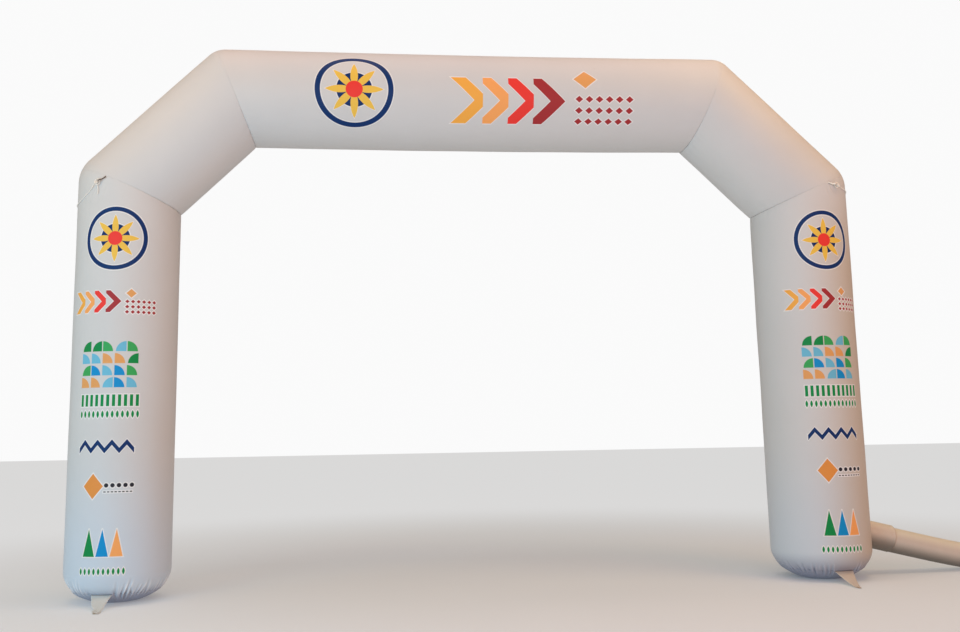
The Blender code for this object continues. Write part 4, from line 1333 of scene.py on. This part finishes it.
def make_tab(side_name):
    """The flap, finer towards its tip, with the eyelet's hole; gives back the hole's place."""
    row = dict(zip(TAB_COLUMNS, TAB_ROWS[side_name]), azimuth=TAB_AZIMUTH[side_name])
    foot = np.array((SIDES[side_name] * leg_axis_x(0), 0, 0))
    coarse, fine, columns = TAB_MESH
    down = np.concatenate((np.linspace(0, TAB_FINE_FROM, coarse)[:-1], np.linspace(TAB_FINE_FROM, 1, fine)))
    across, down = np.broadcast_arrays(np.linspace(-1, 1, columns), down[:, None])
    uv = np.stack((across, down), axis=-1)
    name = f"tab_{side_name}"
    tab = cloth_piece(f"{name}_flap", "tab_cloth", name, tab_surface(row, across, down) + foot,
                      make_tab_material(side_name), uv, offset=0.0, inside=foot - 3 * UP)
    eyelet = foot + (row["tip_x"] + row["eyelet_x"], -row["tip_reach"] + row["eyelet_in"], 0)
    cut_hole(tab, Vector((eyelet + MIDDLE)[:2]), EYELET_CUT)
    return eyelet


# %% Eyelets
def make_brass():
    """Worn brass: mottled, darker in patches, scratched by pegs."""
    material, place = new_material("worn_brass", 0.38, 0.5, 1.0)
    tarnish = noise(place, 160.0, 5.0, 0.6)
    colour = mix_colour(tarnish, (0.50, 0.37, 0.19), (0.24, 0.18, 0.11))
    return finish_material(material, colour, noise(place, 700.0, 2.0), 0.0003, 0.5,
                           Roughness=tarnish * 0.3 + 0.25)


BRASS = make_brass()


def make_eyelet(side_name, centre):
    """A turned profile: barrel, and a rolled flange over and under the cloth.

    The profile is a closed loop of radius and height; each flange is a small arc that
    reaches from the cloth down to the ground, or as far up.
    """
    low = TAB_LYING - CLOTH / 2 - SEAM_GAP
    high = TAB_LYING + CLOTH / 2 + SEAM_GAP
    arc = np.linspace(0, math.pi, 9)
    half = (EYELET_RADIUS - EYELET_HOLE) / 2
    top = np.stack((EYELET_HOLE + half + half * np.cos(arc), high + low * np.sin(arc)), axis=1)
    bottom = np.stack((EYELET_HOLE + half - half * np.cos(arc), low - low * np.sin(arc)), axis=1)
    profile = np.concatenate((top, bottom, ((EYELET_BARREL, low), (EYELET_BARREL, high))))
    turn = np.linspace(0, 2 * math.pi, 49)[:, None]
    spokes = around(turn, np.array((1, 0, 0)), np.array((0, 1, 0)))
    points = profile[:, :1] * spokes + profile[:, 1:] * UP + centre
    ring = grid_piece(f"eyelet_{side_name}_rolled", points, BRASS, wrapped=True)

    def weld(mesh):
        bmesh.ops.remove_doubles(mesh, verts=mesh.verts, dist=0.00001)
        bmesh.ops.recalc_face_normals(mesh, faces=mesh.faces)

    edit(ring, weld)
    take_place(ring, f"eyelet_{side_name}")


for name in SIDES:
    make_eyelet(name, make_tab(name))
print("tabs and eyelets are in place")

# %% [markdown]
# ## Webbing loops
# Each guy point is a short strap of herringbone webbing, doubled back on itself: both
# layers lie flat on the cloth and an open eye is left at the end for the knot's ring. The
# middle band and the edges take two colours, and the dark one is painted shadow: in the
# middle on the left strap, at the edges on the right one. The ribs carry painted shade.

# %% Webbing
STRAP_WIDTH = 0.024
STRAP_PITCH = 0.0030
RIBS = 2600.0
WEBBING_DIRT_AND_SHADE = (0.25, 0.22, 0.18)


def make_webbing(side_name, middle, edge, band):
    """Diagonal ribs with painted shade, turning at the middle line; one colour in the middle band and one at
    the edges, the dark one painted shadow.
    """
    material, place = new_material(f"webbing_{side_name}", 0.78, 0.3)
    across, along = cloth_uv(place)
    rib = sine((abs(across) + along) * RIBS) * 0.5 + 0.5
    # patches of dirt, and painted shade along the ribs, darken the webbing
    dirt_and_shade = noise(place, 70.0, 4.0) * 0.4 + rib * 0.3
    thread = mix_colour(between(abs(across), *scaled(band, STRAP_WIDTH)), middle, edge)
    return finish_material(material, mix_colour(dirt_and_shade * 0.5, thread, WEBBING_DIRT_AND_SHADE), rib, 0.0004, 0.8)


# the dark colour of each strap is painted shadow: the middle band on the left, the edges on the right
WEBBING = {
    "left": make_webbing("left", (0.05, 0.045, 0.05), (0.80, 0.78, 0.74), (0.22, 0.36)),
    "right": make_webbing("right", (1.0, 0.98, 0.92), (0.20, 0.13, 0.09), (0.36, 0.46)),
}


def strap_line(row):
    """The strap's side view: along the cloth, round the eye's circle, and back."""
    half, low = row["strap"] / 2, row["clear"]
    eye = half - LOOP_RADIUS
    turn = np.radians(np.linspace(-80, 165, 24))
    loop = np.stack((eye + LOOP_RADIUS * np.cos(turn), LOOP_CENTRE + LOOP_RADIUS * np.sin(turn)), axis=1)
    lower = np.array(((-half, low), (-0.2 * half, low), (eye - 0.012, low)))
    upper = np.array(((eye - 0.024, low + STRAP_PITCH), (-half, low + STRAP_PITCH)))
    return np.concatenate((lower, loop, upper))


def make_loop(row, face_name):
    """The side view swept across the strap's width."""
    line = strap_line(row)
    across = np.linspace(-1, 1, 7) * STRAP_WIDTH / 2
    along = distances_along(line)
    points = guy_point(guy_frame(row, FACES[face_name]), line[:, :1], line[:, 1:], across)
    uv = np.stack(np.broadcast_arrays(across, along[:, None]), axis=-1)
    name = f"guy_loop_{row['name']}_{face_name}"
    loop = cloth_piece(f"{name}_strap", "webbing", name, points, WEBBING[row["name"]], uv, offset=0.0)
    loop.modifiers["thickness"].use_even_offset = True


for row in GUYS:
    for face in FACES:
        make_loop(row, face)
print("webbing loops are in place")

# %% [markdown]
# ## Blower duct and collar
# Air comes in through a slim tube of lighter cloth. It leaves the right foot a little
# above the ground, slopes down to the ground and ends in a hemmed mouth for the blower.
# At the foot it is tucked into a collar sewn to the leg, wrinkled where it is tied.

# %% Duct cloth
DUCT_RADIUS = 0.129
RIPSTOP_PITCH = 0.006
RIPSTOP_SHARE = 0.12


def make_duct_material(name, tint, top):
    """Thin beige cloth with ripstop squares, with painted light on top and painted shade underneath."""
    material, place = new_material(name, 0.62, 0.3)
    across, along = cloth_uv(place)
    patch = noise(place, 7.0, 4.0, 0.6)
    ripstop = calc("MAXIMUM", *(calc("LESS_THAN", calc("FRACT", part / RIPSTOP_PITCH), RIPSTOP_SHARE)
                                for part in (across, along)))
    # painted light on the side facing up, painted shade on the underside, by the angle round the duct
    lift = sine(across / DUCT_RADIUS)
    colour = lay_over(
        mix_colour(patch * 0.7, tint, scaled(tint, 0.86)), (ripstop * 0.12, scaled(tint, 0.7)),
        (between(lift, 0.1, 1.0), top), (between(lift, 0.1, -0.9), scaled(tint, 0.30)))
    height = ripstop * 0.08 + noise(place, 24.0, 4.0, 0.6)
    return finish_material(material, colour, height, 0.003, 0.6, Roughness=patch * 0.2 + 0.5)


# the third colour is the painted light on each tube's upper side
DUCT_FILM = make_duct_material("duct_film", (0.67, 0.60, 0.52), (0.88, 0.86, 0.70))
COLLAR_FILM = make_duct_material("collar_film", (0.71, 0.63, 0.54), (0.90, 0.87, 0.72))

# %% The duct's axis
DUCT_START = 0.038
DUCT_ROWS = (
    (0.000, 0.4185), (0.350, 0.3345), (0.800, 0.2275), (0.980, 0.1870),
    (1.140, 0.1555), (1.280, 0.1345), (1.400, 0.1250), (1.520, 0.1235),
)
DUCT_END = DUCT_ROWS[-1][0]
DUCT_SLOPE_STEP = 0.04
HEM_WIDTH = 0.030
HEM_EXTRA = 0.0015
HEM_STEP = 0.002
# folds: seed, how many, and how deep; then what is drawn for each, besides its place:
# slant, width along the tube, how far it is dented or raised, and spread round the tube
DUCT_FOLDS = (71, 46, 0.0022)
COLLAR_FOLDS = (79, 22, 0.0018)
FOLD_SLANTS, FOLD_WIDTHS, FOLD_LIFTS, FOLD_SPREADS = (-0.07, 0.07), (0.006, 0.022), (-1, 0.6), (0.4, 1.2)
COLLAR_LENGTH = 0.293
COLLAR_RADIUS = 0.1378
COLLAR_LIFT = 0.0082
COLLAR_HEM_FROM = 0.93
COLLAR_HEM_EXTRA = 0.0012
PUCKER_WAVES = (9, 13, 17, 22)
PUCKER_SEED = 77
# the collar's puckers: depth, the waves' level, and the share of its length where they end
COLLAR_PUCKER, COLLAR_PUCKER_LEVEL, COLLAR_PUCKER_END = 0.0011, 1.6, 0.45
# how far the collar's surface may stand in and out
COLLAR_RELIEF = (-0.0045, 0.002)
DUCT_WAY = np.array((math.cos(DUCT_AZIMUTH), math.sin(DUCT_AZIMUTH), 0))
DUCT_SIDE = np.array((-math.sin(DUCT_AZIMUTH), math.cos(DUCT_AZIMUTH), 0))
DUCT_ROOT = np.array((leg_axis_x(DUCT_ROWS[0][1]), 0, 0)) + TUBE_RADIUS * DUCT_WAY


def duct_height(run):
    return np.interp(run, *zip(*DUCT_ROWS))


def duct_frame(run):
    """Centres along the duct, and the direction square to it in its upright plane."""
    run = np.atleast_1d(run)
    start = np.clip(run - DUCT_SLOPE_STEP, 0, DUCT_END - 2 * DUCT_SLOPE_STEP)
    slope = (duct_height(start + 2 * DUCT_SLOPE_STEP) - duct_height(start)) / (2 * DUCT_SLOPE_STEP)
    centre = DUCT_ROOT + run[:, None] * DUCT_WAY + duct_height(run)[:, None] * UP
    way = unit(DUCT_WAY + slope[:, None] * UP)
    return centre, way, np.cross(way, DUCT_SIDE)


DUCT_TURN_UV = -math.pi / 2 + np.linspace(0, 2 * math.pi, 121)
DUCT_TURN = DUCT_TURN_UV[:-1]


def duct_wrinkles(run, turn, seed, count, depth):
    """Shallow folds: each is a ridge at a slant across the tube, fading round it."""
    rng = np.random.default_rng(seed)
    relief = np.zeros(np.broadcast(run, turn).shape)
    for _ in range(count):
        at, place = rng.uniform(run.min(), run.max()), rng.uniform(0, 2 * math.pi)
        slant, width = rng.uniform(*FOLD_SLANTS), rng.uniform(*FOLD_WIDTHS)
        off_turn = turn_from(turn, place)
        spread = rng.uniform(*FOLD_SPREADS)
        fold = np.exp(-((run - at - slant * off_turn) / width) ** 2 - (off_turn / spread) ** 2)
        relief += depth * rng.uniform(*FOLD_LIFTS) * fold
    return relief


def make_duct():
    """Rings along the axis; whatever would sink below the ground lies flat on it."""
    hem = DUCT_END - HEM_WIDTH
    runs = np.concatenate((np.linspace(DUCT_START, hem - 0.01, 110),
                           (hem, hem + HEM_STEP, DUCT_END - HEM_WIDTH / 2, DUCT_END - HEM_STEP, DUCT_END)))
    centre, _, up = duct_frame(runs)
    run = runs[:, None]
    slack = ramp(run, DUCT_START, DUCT_START + 0.3) * np.clip((DUCT_END - run) / 0.04, 0.1, 1)
    radius = DUCT_RADIUS + duct_wrinkles(run, DUCT_TURN[None], *DUCT_FOLDS) * slack
    radius += HEM_EXTRA * ramp(run, hem, hem + HEM_STEP)
    points = centre[:, None] + radius[..., None] * around(DUCT_TURN, DUCT_SIDE, up[:, None])
    points[..., 2] = np.maximum(points[..., 2], 0.0)
    uv = np.stack(np.broadcast_arrays(DUCT_RADIUS * DUCT_TURN_UV, run), axis=-1)
    duct = cloth_piece("blower_duct_tube", "duct_cloth", "blower_duct", points, DUCT_FILM, uv,
                       wrapped=True, inside=centre[:, None] + 0.01 * UP)


def make_collar():
    """A straight sleeve from the leg's surface, puckered where it meets the leg, folded along its middle and
    hemmed at its far end.

    Each line of the sleeve is first run back to the leg: the distance to go is what is
    left between the leg's radius and the point's distance from the leg's axis.
    """
    centre, way, up = (part[0] for part in duct_frame(0.0))
    centre = centre + up * COLLAR_LIFT
    spokes = around(DUCT_TURN, DUCT_SIDE, up)
    outer = COLLAR_RADIUS + CLOTH
    root = centre + outer * spokes
    for _ in range(20):
        off_axis = np.hypot(root[:, 0] - leg_axis_x(root[:, 2]), root[:, 1])
        root = root + (TUBE_RADIUS + 1.5 * SEAM_GAP - off_axis)[:, None] * way
    start = (root - centre) @ way
    share = np.concatenate((np.linspace(0, 0.12, 7)[:-1], np.linspace(0.12, COLLAR_HEM_FROM, 30),
                            (COLLAR_HEM_FROM + 0.005, 0.97, 1.0)))[:, None]
    run = start + (COLLAR_LENGTH - start) * share
    rng = np.random.default_rng(PUCKER_SEED)
    waves = sum(rng.uniform(0.3, 1) * np.sin(n * DUCT_TURN + rng.uniform(0, 6.28)) for n in PUCKER_WAVES)
    fade = np.clip(1 - share / COLLAR_PUCKER_END, 0, 1) ** 1.5 * ramp(share, 0, 0.015)
    pucker = -COLLAR_PUCKER * (waves + COLLAR_PUCKER_LEVEL) * fade
    folds = duct_wrinkles(share * COLLAR_LENGTH, DUCT_TURN[None], *COLLAR_FOLDS)
    folds = folds * ramp(share, 1, 0.9) * ramp(share, 0, 0.1)
    hem = COLLAR_HEM_EXTRA * ramp(share, COLLAR_HEM_FROM, COLLAR_HEM_FROM + 0.005)
    relief = np.clip(pucker + folds, *COLLAR_RELIEF) + hem
    inside = centre + run[..., None] * way
    points = inside + (outer + relief)[..., None] * spokes
    uv = np.stack(np.broadcast_arrays(outer * DUCT_TURN_UV, wrap_column(run)), axis=-1)
    collar = cloth_piece("blower_collar_sleeve", "duct_cloth", "blower_collar", points, COLLAR_FILM, uv,
                         wrapped=True, inside=inside)


make_duct()
make_collar()
print("duct and collar are in place")

# %% [markdown]
# ## Ground and light
# A wide pale ground carries the arch; far out it glows evenly, so that no lamp leaves a
# spot on it. The light is a bright hall's: a large soft key and a warm lamp in front, one
# on each side, one overhead, two small warm ones near the top corners and a cool one low
# on the left.

# %% Ground
GROUND_PALE, GROUND_MOTTLE, GROUND_FAR = (0.84, 0.92, 0.98), (0.81, 0.89, 0.95), (0.08, 0.08, 0.08)
GLOW_NEAR, GLOW_FAR = 0.06, 0.66
# metres out over which the near ground gives way to the far one
GROUND_CHANGES = (1.5, 11.0)
GROUND_HALF = 60
GROUND_DROP = 0.0008


def make_ground():
    """A large level plane: mottled near the arch, and farther out dark with an even glow."""
    material, place = new_material("pale_ground", 0.9, 0.1)
    away = plane_length(coordinate(place, 0), coordinate(place, 1))
    far = between(away, *GROUND_CHANGES)
    mottled = mix_colour(noise(place, 0.7, 3.0), GROUND_PALE, GROUND_MOTTLE)
    output(material.node_tree.nodes["Principled BSDF"], 0, {
        "Base Color": mix_colour(far, mottled, GROUND_FAR), "Emission Color": (1.0, 1.0, 1.0),
        "Emission Strength": far * (GLOW_FAR - GLOW_NEAR) + GLOW_NEAR})
    span = np.linspace(-GROUND_HALF, GROUND_HALF, 13)
    x, y = np.meshgrid(span, span)
    points = np.stack((x, y, 0 * x - GROUND_DROP), axis=-1)
    grid_piece("ground", points, material, inside=-9 * UP)


make_ground()


# %% Lights
# name, place, what it is aimed at, size, power and colour
LAMPS = (
    ("key_front", (-2, -14, 5), (0, 0, 2.6), (10, 6), 425, (1.0, 0.93, 0.91)),
    ("warm_front", (9, -13, 5.5), (2, 0, 2.6), (8, 7), 270, (1.0, 0.09, 0.0)),
    ("left_side", (-12, -3, 3.5), (-3, 0, 2.6), (6, 6), 85, (1.0, 0.82, 0.70)),
    ("right_side", (12, -3, 3.5), (3, 0, 2.6), (6, 6), 24, (1.0, 0.35, 0.02)),
    ("overhead", (0, -1, 11), (0, -1, 0), (10, 6), 270, (0.98, 0.74, 0.71)),
    ("warm_top_right", (4.8, -1.8, 7.8), (3.0, 0, 4.8), (1.5, 1.5), 62, (1.0, 0.62, 0.22)),
    ("warm_top_left", (-5.0, -2.5, 7.0), (-3.4, 0, 4.2), (1.5, 1.5), 36, (1.0, 0.52, 0.12)),
    ("cool_left", (-10, -12, 3.0), (-3.5, 0, 1.0), (6, 5), 545, (0.25, 0.74, 1.0)),
)
AMBIENT = (1.0, 0.86, 0.71)
AMBIENT_STRENGTH = 0.315
BACKDROP = (1.0, 1.0, 1.0)
BACKDROP_STRENGTH = 0.96


def add_lamp(name, place, target, size, power, colour):
    light = bpy.data.lights.new(name, "AREA")
    light.shape = "RECTANGLE"
    light.size, light.size_y = size
    light.energy = power
    light.color = colour
    lamp = bpy.data.objects.new(name, light)
    lamp.location = Vector(np.array(place) + MIDDLE)
    lamp.rotation_euler = (Vector(target) - Vector(place)).to_track_quat("-Z", "Y").to_euler()
    lamp.visible_camera = False
    bpy.context.scene.collection.objects.link(lamp)


def make_light():
    """Large soft lamps, and a dim warm world that the camera sees as white."""
    for row in LAMPS:
        add_lamp(*row)
    world = bpy.data.worlds.new("hall")
    bpy.context.scene.world = world
    world.use_nodes = True
    tree = world.node_tree
    back, seen = tree.nodes["Background"], tree.nodes.new("ShaderNodeBackground")
    for node, colour, strength in ((back, AMBIENT, AMBIENT_STRENGTH), (seen, BACKDROP, BACKDROP_STRENGTH)):
        output(node, 0, {"Color": colour, "Strength": strength})
    path = tree.nodes.new("ShaderNodeLightPath")
    blend = tree.nodes.new("ShaderNodeMixShader")
    tree.links.new(path.outputs["Is Camera Ray"], blend.inputs[0])
    tree.links.new(back.outputs[0], blend.inputs[1])
    tree.links.new(seen.outputs[0], blend.inputs[2])
    tree.links.new(blend.outputs[0], tree.nodes["World Output"].inputs["Surface"])
    bpy.context.scene.view_settings.view_transform = "Standard"


make_light()
